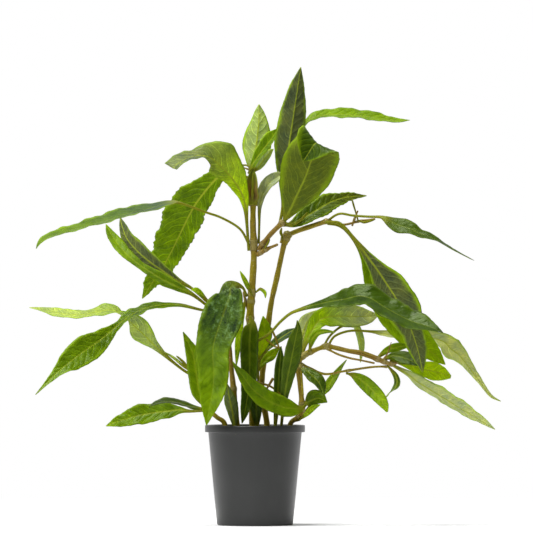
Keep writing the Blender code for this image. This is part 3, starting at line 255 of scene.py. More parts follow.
RIGHT_LEAVES = (
    Leaf("long_tipped_right_leaf", "leaf_mid", RIGHT, -26, 8, 0,
        Look("dusk", "deep", "grey", 0.3, 0.15, 0.15, 0.2), (
        (37.2, 3.8, 152.8, 20, 1.3), (40.5, 2.5, 155, 20, 1.3), (43.5, 2, 155.7, 20, 1.3),
        (48.5, 1.5, 154.8, 20, 1.3), (56, 1, 154.2, 30, 1.3), (62.5, 0.5, 154, 50, 1.8),
        (65, 0, 153.2, 58, 3.6), (68.5, -0.5, 151.2, 60, 7), (72.5, -1, 149.5, 60, 9.2),
        (77.5, -2, 148, 58, 8), (81.5, -2.5, 145.8, 45, 6.5), (86.5, -3, 144, 35, 6),
        (91.5, -3.5, 141.8, 20, 5), (97.5, -4, 138.2, 10, 4), (102.5, -4.5, 135.5, 5, 2.5),
        (108.8, -5, 132.2, 5, 0.5))),
    Leaf("drooping_right_leaf", "leaf_olive", RIGHT, -14, 8, 6,
        Look("green", "bright", "slate", 0.5, 0.25, 0.8, 1), (
        (36.5, 1.8, 151.3, -60, 1.6), (41.5, 0.8, 151.2, -70, 1.7), (45, 0, 148.5, -75, 1.8),
        (48, -0.5, 145, -80, 1.8), (51, -1, 141.5, -80, 2), (56, -1.5, 134.5, -80, 5),
        (60.5, -2.5, 128.5, -80, 8.8), (65.5, -3.5, 121, -80, 16.5), (70, -4.5, 114, -80, 18.3),
        (74.5, -5, 106, -80, 18), (78, -5.5, 97.5, -80, 12.5), (80.5, -6, 90, -80, 10.7),
        (82, -6.5, 84, -80, 7.2), (83.5, -7, 76.5, -80, 0.5))),
    Leaf("bright_drooping_leaf", "leaf_lime", RIGHT, 10, 8, 0,
        Look("bright", "lime", "olive", 0.5, 0.25, 0.6, 0.5), (
        (37.6, 4.4, 150.6, 60, 1.5), (41.5, 5, 149.9, 70, 1.5), (45.5, 5.3, 147.3, 70, 1.6),
        (50.8, 6, 141, 75, 2.4), (55.3, 7, 133, 75, 5), (59.2, 8, 122.5, 75, 10.5), (65, 9, 111, 75, 15),
        (73.5, 9, 100, 75, 16), (82.5, 8, 91.5, 75, 14), (90, 7, 85, 75, 8), (95.5, 6, 80, 75, 0.5))),
    Leaf("large_right_arching_leaf", "leaf_dark", RIGHT, -28, 8, 6,
        Look("deep", "deep", "grey", 0.5, 0.3, 0.2, 0.15), (
        (0.4, -1, 91.5, 45, 1.5), (5, -2.5, 94.2, 45, 1.5), (8.5, -5, 97, 45, 1.5),
        (12.5, -7, 101.5, 45, 1.6), (17.5, -9, 105.7, 45, 1.8), (22.5, -11, 107.8, 45, 2.4),
        (27.5, -12, 109.3, 45, 3.6), (32.5, -13.5, 110.5, 45, 5.2), (37.5, -14.5, 111.8, 45, 8),
        (45, -16, 113, 45, 12.7), (51.5, -17, 114.5, 45, 15.5), (57.5, -17.5, 113.3, 45, 15.5),
        (63.5, -18, 109.5, 45, 15.5), (70, -18.5, 105.8, 45, 15.5), (76.5, -19, 102.5, 45, 14.8),
        (82.5, -19.5, 100.5, 45, 12), (88.5, -20, 98.5, 42, 5.6), (93, -20, 96.5, 40, 0.5))),
    Leaf("far_right_leaf", "leaf_pale", RIGHT, 38, 8, 0, Look("milk", "milk", "milk", 0.5, 0.15, 0.5, 0.6), (
        (37.1, -1.5, 90.5, -20, 1.4), (40, 0, 94.5, -20, 1.4), (47.5, 4, 97, -20, 1.4),
        (57.5, 8.5, 96.7, -25, 2), (67.5, 13, 95.5, -30, 8), (77.5, 15, 94.5, -35, 8.5),
        (87.5, 14, 93.8, -45, 8.5), (95, 12, 91.5, -55, 10), (98.5, 10, 88, -62, 12),
        (102.5, 8, 85, -65, 9.5), (105.5, 6.5, 81.5, -65, 7), (109, 5, 77, -65, 4.6),
        (112.5, 4, 72.5, -62, 3.6), (116, 3, 67.5, -60, 2.4), (119.5, 2, 63.5, -60, 1.8),
        (124, 1, 61.2, -60, 0.5))),
    Leaf("low_right_leaf", "leaf_pale", RIGHT, -24, 12, 0,
        Look("pale", "pale", "milk", 0.4, 0.15, 0.5, 0.7), (
        (69, -5.2, 79.8, -45, 1.5), (76.5, -6.2, 75.7, -45, 4.5), (80.5, -7, 72.5, -45, 7.5),
        (85.5, -7.5, 69.2, -45, 8.5), (91, -8, 65.8, -45, 10), (96.5, -8.5, 62.5, -45, 9.5),
        (102, -9.5, 59, -45, 9.5), (108, -10.5, 55.5, -45, 7.5), (114.5, -11.5, 51.5, -45, 4),
        (119, -12, 48.5, -45, 0.5))),
    Leaf("rounded_right_leaf", "leaf_lime", RIGHT, 16, 6, 0,
        Look("lime_with_painted_light", "lime_with_painted_light", "olive", 0.3, 0.15, 0.6, 0.4), (
        (68.8, -3.4, 82, 75, 1.4), (73, -2, 81, 75, 2.5), (78.5, -1, 79.5, 75, 5.5), (83.5, -1, 78, 75, 7.7),
        (89, -1, 76.8, 75, 9.6), (94, -1.5, 75.5, 75, 7.2), (98.3, -2, 73.8, 75, 1.5))),
    Leaf("short_hanging_leaf", "leaf_lime", RIGHT, -12, 6, 0,
        Look("bright", "lime", "olive", 0.3, 0.15, 0.5, 0.5), (
        (46.9, -1.4, 75.6, 78, 1.2), (49, -2, 75, 78, 3), (52, -2.2, 73.2, 78, 5.7),
        (55.5, -2.8, 70.5, 78, 7.2), (59, -3.4, 67, 78, 7.2), (62.2, -4, 63.5, 78, 6.5),
        (64.5, -4.5, 60, 78, 4.5), (65.8, -5, 56.8, 78, 1))),
    Leaf("small_twisted_leaf", "leaf_mid", RIGHT, 10, 6, 0, Look("dusk", "green", "pale", 0.2, 0.1), (
        (67, -1.6, 78.8, 60, 1.2), (70, -1, 75, 60, 3), (71, -0.5, 71.5, 60, 3.8), (70, 0, 68.5, 40, 4.2),
        (67.5, 0.5, 66, 0, 3), (64.3, 0.8, 62.3, -30, 0.5))),
    Leaf("broad_right_leaf", "leaf_mid", RIGHT, 22, 8, 6, Look("lime", "milk", "olive", 0.5, 0.2, 0.7, 0.3), (
        (24.3, -2, 87.3, 72, 1.5), (25.5, -1.5, 91.5, 72, 3), (28.5, -1, 97, 72, 6),
        (32.5, -0.5, 102.5, 72, 10), (38.5, 0, 104.2, 72, 11.5), (45, 0.5, 104.2, 72, 12.5),
        (51.5, 1, 104, 72, 11), (57, 1.5, 104.2, 72, 7.5), (62, 2, 104.7, 72, 0.5))),
    Leaf("narrow_right_leaf", "leaf_mid", RIGHT, -10, 8, 0, Look("bright", "green", "olive", 0.2, 0.1), (
        (27.3, -3.9, 88, 60, 1.3), (28.7, -5, 93, 60, 4), (31.5, -5.6, 96, 60, 3.8),
        (35.5, -6.2, 96.8, 60, 2.5), (40, -6.5, 96.5, 60, 0.5))),
    Leaf("pale_right_leaf", "leaf_pale", RIGHT, 14, 8, 0, Look("milk", "pale", "milk", 0.2, 0.1, 0.3, 0.3), (
        (23.1, -1, 85.7, -75, 1.4), (23.5, 2.5, 94, -75, 4), (25.8, 4, 101, -75, 8), (30.8, 5, 107, -75, 1))),
    Leaf("pale_hanging_leaf", "leaf_pale", RIGHT, 16, 8, 0, Look("bright", "lime", "pale", 0.2, 0.1), (
        (34.6, -0.6, 89.8, -60, 1.2), (37.5, 3, 94.5, -60, 1.2), (43, 7, 99, -60, 1.4),
        (49.5, 10, 100.5, -65, 3), (52.3, 11, 95.5, -70, 3.8), (53.5, 11, 89, -70, 3.4),
        (53, 10, 81, -70, 0.5))),
    Leaf("lime_right_leaf", "leaf_lime", RIGHT, 5, 8, 0, Look("bright", "bright", "olive", 0.2, 0.1), (
        (61.4, -3.5, 83.8, 70, 1.3), (66, -1.5, 87.2, 70, 3.6), (71.5, -0.5, 89, 70, 4.6),
        (78, 0, 89.5, 70, 0.5))),
    Leaf("dark_right_leaf", "leaf_dark", RIGHT, -10, 8, 0,
        Look("dusk", "deep", "olive", 0.2, 0.15, 0.3, 0.1), (
        (64.9, -3, 83.1, 60, 1.3), (69.5, -4.2, 84.6, 60, 5), (76, -4.4, 83, 60, 8),
        (82.5, -4.4, 79.5, 60, 0.5))),
)

LOW_RIGHT_LEAVES = (
    Leaf("small_dark_leaf", "leaf_dark", RIGHT, -10, 8, 0,
        Look("dusk", "deep", "olive", 0.3, 0.15, 0.3, 0.1), (
        (22.6, -4.1, 79, 60, 1.3), (26, -6.3, 76.9, 60, 5), (28.8, -7, 74.5, 60, 7), (32, -7.5, 71, 60, 7),
        (34.5, -8, 64.8, 60, 0.5))),
    Leaf("small_pointed_leaf", "leaf_lime", RIGHT, 14, 8, 0,
        Look("lime", "bright", "olive", 0.2, 0.1, 0.4, 0.5), (
        (25.4, -1.5, 57, 60, 1.3), (31, 0, 63.5, 60, 3), (36, 1, 68.5, 60, 5), (39, 1, 73, 60, 5),
        (42.5, 1, 78, 60, 2.6), (46, 1, 82.5, 60, 0.5))),
    Leaf("low_right_dark_leaf", "leaf_dark", RIGHT, -6, 6, 0,
        Look("dusk", "green", "olive", 0.3, 0.2, 0.3, 0.2), (
        (25.1, -3.7, 60.5, 80, 1.5), (28.5, -4.5, 62.5, 80, 9), (32, -4.5, 63.5, 80, 8),
        (36, -4.5, 61.5, 80, 0.5))),
    Leaf("low_lime_leaf", "leaf_lime", RIGHT, -10, 8, 0, Look("lime", "bright", "olive", 0.2, 0.1), (
        (22.7, -4.6, 53.2, 60, 1.2), (26, -7, 56, 60, 3), (29, -8, 58.5, 60, 3.4),
        (32.5, -8, 60.5, 60, 0.5))),
)

LEAVES = TOP_LEAVES + LEFT_LEAVES + CENTRE_LEAVES + RIGHT_LEAVES + LOW_RIGHT_LEAVES

SPROUT_LEAVES = (
    Leaf("ear_shaped_sprout", "leaf_mid", RIGHT, 2, 20, 0, PLAIN, (
        (-2.5, 1.2, 179, 60, 0.9), (-5, 1.6, 180, 60, 0.8), (-8.5, 2, 179, 60, 1.3),
        (-10.5, 2, 176.5, 60, 0.4))),
    Leaf("stem_shoot", "leaf_mid", LEFT, -1, 15, 0, PLAIN, (
        (-2, -2.2, 116, 70, 0.9), (-4, -3, 120, 70, 2.6), (-6, -3.5, 124, 70, 2.2),
        (-7.5, -3.5, 127, 70, 0.4))),
    Leaf("hooked_stem_shoot", "leaf_lime", RIGHT, -2, 20, 0, PLAIN, (
        (1.2, -1.5, 117, 60, 0.9), (2.8, -3, 118, 60, 1.8), (4.8, -3.5, 116, 60, 2.2),
        (5.2, -3.5, 113.5, 60, 0.4))),
    Leaf("lime_bud", "leaf_lime", LEFT, 0, 15, 0, PLAIN, (
        (-23.5, 1.5, 112, 60, 0.8), (-26.5, 0.5, 115, 60, 2.6), (-29.5, 0, 117.3, 60, 3.4),
        (-32, 0, 117.5, 60, 0.4))),
    Leaf("long_sprout", "leaf_mid", LEFT, 6, 12, 0, PLAIN, (
        (-31, 5.2, 76, -50, 0.8), (-36.5, 6, 80, -50, 2), (-41, 6.5, 83.5, -50, 1.9),
        (-45.5, 7, 86.5, -50, 0.3))),
    Leaf("short_sprout", "leaf_lime", LEFT, 3, 12, 0, PLAIN, (
        (-32, 5.5, 77, -50, 0.8), (-36, 6.5, 81.5, -50, 1.5), (-39.5, 7.5, 84.5, -50, 0.3))),
    Leaf("twig_leaflet", "leaf_lime", RIGHT, 1, 15, 0, PLAIN, (
        (51.5, 6.5, 152.6, 60, 0.7), (50.4, 5.6, 156.5, 60, 0.6), (49.2, 5, 160.5, 60, 0.9),
        (48.6, 5, 163, 60, 0.4))),
    Leaf("apex_bud", "leaf_olive", RIGHT, 0, 35, 20, Look("bark", "olive", "bark", 0.1, 0.05, 0.1, 0.5), (
        (-1.2, -2, 161.5, 80, 5), (-1.2, -2.6, 165.5, 80, 8.5), (-1.1, -3, 170, 80, 9),
        (-1, -2.8, 174.5, 80, 6), (-0.9, -2.2, 178, 80, 0.4))),
    # A dark sliver laid in the bud's slit to paint the shade there.
    Leaf("bud_heart", "leaf_dark", RIGHT, 0, 10, 0, Look("deep", "deep", "deep", 0.1, 0.05, 0, 0), (
        (-1.1, -2.9, 163, 80, 0.6), (-1, -3.4, 167, 80, 1.6), (-1, -3.7, 171.5, 80, 1.5),
        (-0.9, -3.4, 176, 80, 0.4))),
    Leaf("bud_fleck", "leaf_lime", RIGHT, 0, 10, 0, PLAIN, (
        (-1.4, -4.4, 164.4, 80, 0.6), (-1.3, -4.8, 166.2, 80, 1.4), (-1.3, -4.8, 168.4, 80, 0.4))),
    Leaf("branch_bract", "leaf_mid", RIGHT, 2, 20, 0, Look("dusk", "dusk", "olive", 0.4, 0.4, 0.3, 0.5), (
        (15.2, -2.6, 151.2, 60, 0.7), (19, -3.4, 149.8, 60, 2.2), (23, -3.8, 150.6, 60, 2.4),
        (26.6, -3.6, 153.6, 60, 0.4))),
    Leaf("branch_leaflet", "leaf_lime", RIGHT, 2, 20, 0, PLAIN, (
        (20, -3.4, 150.2, 60, 0.6), (23.4, -4.2, 153, 60, 1.8), (26.2, -4.4, 156.4, 60, 0.4))),
    Leaf("knob_leaflet", "leaf_lime", RIGHT, -1, 15, 0, PLAIN, (
        (13.6, 4, 144, 60, 0.8), (12.9, 3.6, 146.4, 60, 1.8), (13.4, 3.4, 148.6, 60, 0.4))),
    Leaf("side_stub_bud", "leaf_lime", RIGHT, 0, 15, 0, PLAIN, (
        (5, -3.6, 138.6, 60, 0.6), (6.4, -4.2, 140.8, 60, 1.2), (7.4, -4.4, 143, 60, 0.4))),
    Leaf("twig_bud", "leaf_lime", RIGHT, 1, 15, 0, PLAIN, (
        (52.5, 6.4, 152, 60, 0.7), (54.5, 5.6, 151.4, 60, 1.5), (57.5, 5.4, 152, 60, 1.2),
        (60, 5.2, 152.8, 60, 0.4))),
)

# Short stubs, thin stalks and dried pieces.
SMALL_STEMS = (
    Stem("broken_side_stub", 0.8, (1, 0.7), ((1.8, -1.5, 135.6), (6.5, -3, 138.2), (11.2, -4, 140.2))),
    Stem("thin_side_stalk", 0.1, (0.55, 0.5), ((8.5, 1.5, 97.5), (10.5, 1, 93), (12, 0.5, 88.6))),
    Stem("thin_crossing_stalk", 0.1, (0.5, 0.45), ((6.5, 1.5, 92), (9.5, 0.5, 89.5), (12, 0, 88.5))),
    Stem("low_bent_stalk", 0.3, (0.6, 0.5), ((1.5, -3.5, 71), (7.5, -4, 69.5), (13.5, -4, 65))),
    Stem("fine_arc", 0.1, (0.35, 0.3), ((-2.6, 0.5, 177.5), (-5.5, 0.5, 178.6), (-9, 0.5, 179))),
    Stem("purple_stub", 1, (0.7, 0.5), ((8.5, -3.6, 72.5), (7, -4.2, 70), (5.5, -4.6, 67.5))),
    Stem("apex_collar", 0, (2, 2.2), ((-1, 0, 160.6), (-1, 0, 161.6), (-1, 0, 163.2))),
    Stem("second_stem_knob", 0.1, (1.9, 2), ((14.6, 6.1, 141.6), (15.4, 6, 143.6), (16.6, 6.2, 145.6))),
    Stem("lower_parallel_stalk", 0.9, (0.55, 0.5), ((36.5, -3.8, 88), (41, -5.6, 85.6), (47, -6.6, 83.6),
        (53, -7, 82.4), (59.5, -6.6, 81))),
    Stem("upper_parallel_stalk", 0.5, (0.6, 0.5), ((43.5, -4.6, 87.9), (53, -6.4, 86.8), (60, -6.6, 84.4),
        (66.5, -5.4, 81.2))),
    Stem("lime_side_stalk", 0, (0.6, 0.55), ((23, -4.6, 79.5), (23.4, -5, 72), (23.9, -5, 65))),
    Stem("left_petiole_bundle", 0.8, (0.55, 0.5), ((-2.5, 1.5, 104.5), (-4.5, 0.6, 110.5),
        (-5.6, 0.2, 116.5))),
    Stem("twig_stub", 0.9, (0.5, 0.4), ((49, 7.3, 150.6), (50, 6, 153.6), (51.4, 5.4, 157))),
    Stem("dried_tip", 1, (0.45, 0.2), ((64, -5.4, 82.4), (66.4, -6.4, 86.4), (68, -6.8, 91.4))),
    Stem("dried_flake", 1, (0.55, 0.2), ((69.6, -5.4, 80.6), (72.8, -5.8, 82.4), (75.6, -6, 83.8))),
)

PETIOLE_THICKNESS = 1.2
WIDEST_PETIOLE = 1.95
TIP_WIDTH = 0.5
TIP_TONE_START = 0.4
SMOOTH_SAMPLES = 12
SWEEP_BEND = 1.5
ROOT_DEPTH = 1.4
STEM_ROOT_DEPTH = 1.1
STEM_END_ROUNDING = 0.55
STEM_FOOT_HEIGHT = 36
NODE_REACH = 3.4
NODE_LENGTH = 1.5
TOOTH_SPACING = 2.9
RIB_WIDTH = 0.62
RIB_GROOVE = 0.16
FRONT = np.array((0.0, -1.0, 0.0))

POT_TOP_RADIUS = 25.0
POT_FOOT_RADIUS = 19.0
POT_HEIGHT = 50.0
POT_FLOOR = 1.6
RIM_HEIGHT = 3.5
RIM_OVERHANG = 1.3
FOOT_EDGE = 1.0
PLUG_TOP = 47.5
PLUG_FOOT = 1.9
PLUG_SIDES = 144


def length_setting(label, text, default):
    return FloatProperty(name=label, description=text, default=default, unit="LENGTH")


def number_setting(label, text, default):
    return FloatProperty(name=label, description=text, default=default)


def count_setting(label, text, default):
    return IntProperty(name=label, description=text, default=default)


def colour_setting(label, text, default):
    return FloatVectorProperty(name=label, description=text, default=default, subtype="COLOR", size=3)


class LeafSettings(PropertyGroup):
    row_length: length_setting("Row Length", "Length of a mesh row along a leaf", 0.0009)
    column_width: length_setting("Column Width", "Mean width of a mesh column", 0.0008)
    blade_thickness: length_setting("Blade Thickness", "Thickness of the blade", 0.00038)
    vein_spacing: length_setting("Vein Spacing", "Distance between side veins", 0.0046)
    vein_slant: number_setting("Vein Slant", "How far a side vein runs on for each step outwards", 0.95)
    quilting: length_setting("Quilting", "How far the blade bulges between its veins", 0.0003)
    rib_height: length_setting("Rib Height", "How far the midrib stands out underneath", 0.0005)


class StemSettings(PropertyGroup):
    sides: count_setting("Sides", "Sides of a stem's section", 20)
    step: length_setting("Step", "Distance between rings along a stem", 0.0006)
    relief: length_setting("Relief", "Depth of the skin's unevenness", 0.00012)
    node_swelling: length_setting("Node Swelling", "How far a stem swells where leaves grow", 0.0005)
    olive: colour_setting("Olive", "Colour of the young skin", (0.25, 0.205, 0.008))
    brown: colour_setting("Brown", "Colour of the older skin", (0.21, 0.13, 0.022))


class PotSettings(PropertyGroup):
    sides: count_setting("Sides", "Sides of the turned pot", 128)
    edge: length_setting("Edge", "Radius of the rim's edges", 0.0005)
    wall: length_setting("Wall", "Thickness of the wall", 0.0012)
    colour: colour_setting("Colour", "Colour of the plastic", (0.014, 0.015, 0.014))


class WoolSettings(PropertyGroup):
    fibres: count_setting("Fibres", "Number of loose fibres", 2600)
    fibre_length: length_setting("Fibre Length", "Length of a loose fibre", 0.0042)
    fibre_radius: length_setting("Fibre Radius", "Radius of a loose fibre", 0.00008)
    colour: colour_setting("Colour", "Colour of the wool", (0.34, 0.27, 0.13))


class StageSettings(PropertyGroup):
    camera_distance: length_setting("Camera Distance", "Distance from the lens to the pot's axis", 4.0)
    pixel: length_setting("Pixel", "Width of a picture's pixel at the pot's axis", 0.0005)
    aim_x: length_setting("Aim X", "Where the lens axis is, sideways", 0.00575)
    aim_z: length_setting("Aim Z", "Height of the lens axis", 0.12925)
    floor_radius: length_setting("Floor Radius", "Radius of the floor", 0.9)
    backdrop: number_setting("Backdrop", "Light from behind the plant", 0.9)
    front_dim: number_setting("Front Dim", "Light from the camera's side", 0.12)
    overhead_power: number_setting("Overhead Power", "Power of the softbox above", 27.0)
    fill_power: number_setting("Fill Power", "Power of the softbox at the front left", 21.0)


class NodeBuilder:
    """Adds nodes to a tree and fills their inputs with values or with links."""

    def __init__(self, tree):
        self.tree = tree

    def put(self, socket, value):
        if isinstance(value, bpy.types.NodeSocket):
            self.tree.links.new(value, socket)
        else:
            socket.default_value = value

    def fill(self, node, **inputs):
        for name, value in inputs.items():
            self.put(node.inputs[name.replace("_", " ")], value)

    def add(self, kind, settings=None, **inputs):
        node = self.tree.nodes.new(kind)
        for key, value in (settings or {}).items():
            setattr(node, key, value)
        self.fill(node, **inputs)
        return node

    def source(self, kind, output=0):
        return self.tree.nodes.new(kind).outputs[output]

    def ordered(self, kind, values, settings=None):
        """The first output of a new node whose inputs take the values in their order."""
        node = self.add(kind, settings)
        for socket, value in zip(node.inputs, values):
            self.put(socket, value)
        return node.outputs[0]

    def math(self, operation, *values, clamp=False):
        return self.ordered("ShaderNodeMath", values, {"operation": operation, "use_clamp": clamp})

    def times(self, first, second):
        return self.math("MULTIPLY", first, second)

    def scaled(self, value, scale, offset):
        return self.math("MULTIPLY_ADD", value, scale, offset)

    def centred(self, value, middle=0.5):
        return self.math("SUBTRACT", value, middle)

    def ramp(self, value, low, high, start=0.0, end=1.0):
        """Maps value smoothly from low..high to start..end."""
        settings = {"interpolation_type": "SMOOTHSTEP"}
        return self.ordered("ShaderNodeMapRange", (value, low, high, start, end), settings)

    def mix(self, factor, first, second, blend="MIX"):
        settings = {"data_type": "RGBA", "blend_type": blend}
        return self.add("ShaderNodeMix", settings, Factor=factor, A=first, B=second).outputs["Result"]

    def reading(self, name, output="Fac"):
        return self.add("ShaderNodeAttribute", {"attribute_name": name}).outputs[output]

    def noise(self, vector, scale, detail=3.0, roughness=0.5):
        node = self.add("ShaderNodeTexNoise", Vector=vector, Scale=scale, Detail=detail, Roughness=roughness)
        return node.outputs["Fac"]

    def vector(self, x, y, z):
        return self.ordered("ShaderNodeCombineXYZ", (x, y, z))

    def bump(self, strength, distance, height):
        return self.add("ShaderNodeBump", Strength=strength, Distance=distance, Height=height).outputs[0]

    def blend_shaders(self, factor, first, second):
        surface = self.ordered("ShaderNodeMixShader", (factor, first, second))
        self.fill(self.tree.nodes["Material Output"], Surface=surface)


def new_group(name, kind, inputs, outputs):
    """A node group with named sockets: its builder, its input sockets and its output node."""
    tree = bpy.data.node_groups.new(name, kind)
    for label, (socket_type, default) in inputs.items():
        socket = tree.interface.new_socket(name=label, in_out="INPUT", socket_type=socket_type)
        if default is not None:
            socket.default_value = default
    for label, socket_type in outputs.items():
        tree.interface.new_socket(name=label, in_out="OUTPUT", socket_type=socket_type)
    start = tree.nodes.new("NodeGroupInput")
    end = tree.nodes.new("NodeGroupOutput")
    return NodeBuilder(tree), start.outputs, end


def grey(value):
    return (value, value, value, 1.0)


def leaf_pattern_group():
    """Turns a leaf's own coordinates into its colour, the light it lets through, its gloss and its relief.

    The colour carries painted shade in the valleys between the veins and in the dips of a crumpled foot's
    wrinkles, painted glints on those wrinkles and a lime rim of painted light let through along the margin.
    """
    number, colour = "NodeSocketFloat", "NodeSocketColor"
    build, given, end = new_group(
        "leaf_pattern", "ShaderNodeTree",
        {"Mottle": (number, 0.6), "Upper Roughness": (number, 0.36), "Under Roughness": (number, 0.62)},
        {"Colour": colour, "Glow": colour, "Roughness": number, "Height": number})
    tint = build.reading("leaf_tint", "Color")
    across, along, margin, blade, face, share, veins, rim, crumple = (
        build.reading("leaf_" + name)
        for name in ("across", "along", "margin", "blade", "face", "share", "veins", "rim", "crumple"))

    place = build.vector(across, along, face)
    away = build.math("ABSOLUTE", across)
    shiver = build.centred(build.noise(place, 0.6, 2.0))
    phase = build.scaled(shiver, 0.12, build.reading("leaf_phase"))
    from_vein = build.math("ABSOLUTE", build.centred(build.math("FRACT", phase)))
    vein = build.times(build.ramp(from_vein, 0.09, 0.02), build.ramp(margin, 0.98, 0.7))
    valley = build.times(build.ramp(from_vein, 0.30, 0.02), build.ramp(margin, 0.98, 0.5))

    cells = build.add("ShaderNodeTexVoronoi", {"feature": "DISTANCE_TO_EDGE"}, Vector=place, Scale=0.8)
    net = build.ramp(cells.outputs["Distance"], 0.09, 0.01)
    rib_width = build.scaled(share, -0.5, 0.7)
    rib = build.ramp(build.math("DIVIDE", away, rib_width), 1.25, 0.5)
    patches = build.ramp(build.noise(place, 0.21, 2.0), 0.35, 0.6, 0.5, 1.0)
    lines = build.math("MAXIMUM", build.times(vein, patches), build.times(net, 0.3))

    clouds = build.noise(place, 0.13, 4.0, 0.62)
    streaks = build.noise(build.vector(across, build.times(phase, 5.0), face), 0.5, 3.0, 0.6)
    mottle = build.scaled(build.centred(streaks), 0.35, clouds)
    shade = build.scaled(build.centred(mottle), given["Mottle"], 1.0)
    # Painted shade: the colour is made darker down in the valleys between the side veins.
    shade = build.scaled(valley, -0.10, shade)
    # Painted shade on a crumpled foot: darker in the dips of its wrinkles, a little lighter on their tops.
    crumpled = build.times(build.ramp(share, 0.62, 0.4), crumple)
    wrinkles = build.noise(place, 0.5, 2.0, 0.6)
    painted_fold_shade = build.times(build.centred(wrinkles, 0.62), crumpled)
    shade = build.scaled(painted_fold_shade, 1.8, shade)
    warm = build.scaled(build.centred(mottle), 0.35, 1.0)
    toned = build.mix(1.0, tint, build.vector(build.times(shade, warm), shade, 0.9), "MULTIPLY")
    light_vein = build.mix(1.0, build.mix(1.0, toned, grey(1.9), "MULTIPLY"), (0.06, 0.075, 0.0, 1.0), "ADD")
    veined = build.mix(build.times(lines, veins), toned, light_vein)
    rib_tone = build.math("MAXIMUM", build.scaled(face, -0.7, 0.8), veins)
    ribbed = build.mix(build.times(rib, rib_tone), veined, (0.33, 0.40, 0.03, 1.0))
    # Painted light let through the blade: a lime band along the margin, as strong as the leaf's rim value.
    ragged = build.scaled(build.centred(clouds), 0.5, margin)
    edge = build.times(build.ramp(ragged, 0.68, 1.0), rim)
    with_painted_light = build.mix(edge, ribbed, (0.30, 0.46, 0.008, 1.0))
    # Painted highlight: pale glints on the tops of the wrinkles on a crumpled foot.
    painted_glints = build.times(build.ramp(wrinkles, 0.54, 0.66, 0.0, 0.35), crumpled)
    with_painted_light = build.mix(painted_glints, with_painted_light, (0.26, 0.42, 0.24, 1.0))
    stalk = build.mix(mottle, (0.26, 0.22, 0.018, 1.0), (0.17, 0.25, 0.015, 1.0))
    final = build.mix(build.ramp(blade, 0.55, 0.0), with_painted_light, stalk)
    glow = build.mix(1.0, final, (2.3, 2.0, 0.25, 1.0), "MULTIPLY")

    gloss = build.math("SUBTRACT", given["Upper Roughness"], given["Under Roughness"])
    rough = build.scaled(face, gloss, given["Under Roughness"])
    rough = build.scaled(build.centred(mottle), 0.25, rough)
    turned = build.scaled(face, -2.0, 1.0)
    grooves = build.scaled(net, 0.1, build.times(valley, veins))
    crinkles = build.times(wrinkles, build.scaled(crumpled, 3.0, 1.0))
    height = build.scaled(grooves, turned, crinkles)
    build.fill(end, Colour=final, Glow=glow, Roughness=rough, Height=height)
    return build.tree


def new_material(slot):
    material = bpy.data.materials.new(slot + "_finish")
    material.use_nodes = True
    return NodeBuilder(material.node_tree), material.node_tree.nodes["Principled BSDF"]


def find_material(slot):
    material = bpy.data.materials.get(slot + "_finish")
    if material is None:
        raise RuntimeError("The material " + slot + " hasn't been made")
    return material


def leaf_material(slot, group, let_through, shine, **values):
    """A leaf skin that shines on top and lets light through."""
    build, shader = new_material(slot)
    pattern = build.add("ShaderNodeGroup", {"node_tree": group}, **values).outputs
    specular = build.scaled(build.reading("leaf_face"), shine, 0.06)
    normal = build.bump(0.7, 0.00025, pattern["Height"])
    build.fill(
        shader, Base_Color=pattern["Colour"], Roughness=pattern["Roughness"], Specular_IOR_Level=specular,
        Specular_Tint=(0.8, 1.0, 0.45, 1.0), Normal=normal)
    glow = build.add("ShaderNodeBsdfTranslucent", Color=pattern["Glow"], Normal=normal)
    build.blend_shaders(let_through, shader.outputs[0], glow.outputs[0])


def leaf_materials():
    group = leaf_pattern_group()
    leaf_material("leaf_mid", group, 0.35, 0.1, Mottle=1.5, Upper_Roughness=0.3)
    leaf_material("leaf_dark", group, 0.2, 0.08, Mottle=1.8, Upper_Roughness=0.2)
    leaf_material("leaf_lime", group, 0.4, 0.06, Mottle=1.3)
    leaf_material("leaf_pale", group, 0.3, 0.08, Mottle=1.0, Upper_Roughness=0.45)
    leaf_material("leaf_olive", group, 0.3, 0.06, Mottle=1.3)


def smooth_value(before, start, end, after, t):
    """Catmull-Rom between two stations, for each of their numbers."""
    values = []
    for a, b, c, d in zip(before, start, end, after):
        bend = (2 * a - 5 * b + 4 * c - d) * t * t + (3 * b - a - 3 * c + d) * t ** 3
        values.append(0.5 * (2 * b + (c - a) * t + bend))
    return values


def smooth_stations(stations):
    """The stations joined by a smooth curve, read at close intervals."""
    samples = []
    last = len(stations) - 1
    for index in range(last):
        before = stations[max(index - 1, 0)]
        after = stations[min(index + 2, last)]
        for step in range(SMOOTH_SAMPLES):
            t = step / SMOOTH_SAMPLES
            samples.append(smooth_value(before, stations[index], stations[index + 1], after, t))
    samples.append(list(stations[last]))
    return np.array(samples)


def unit(vectors):
    return vectors / np.linalg.norm(vectors, axis=-1, keepdims=True)


def lengths_along(points):
    steps = np.linalg.norm(np.diff(points, axis=0), axis=1)
    return np.concatenate(([0.0], np.cumsum(steps)))


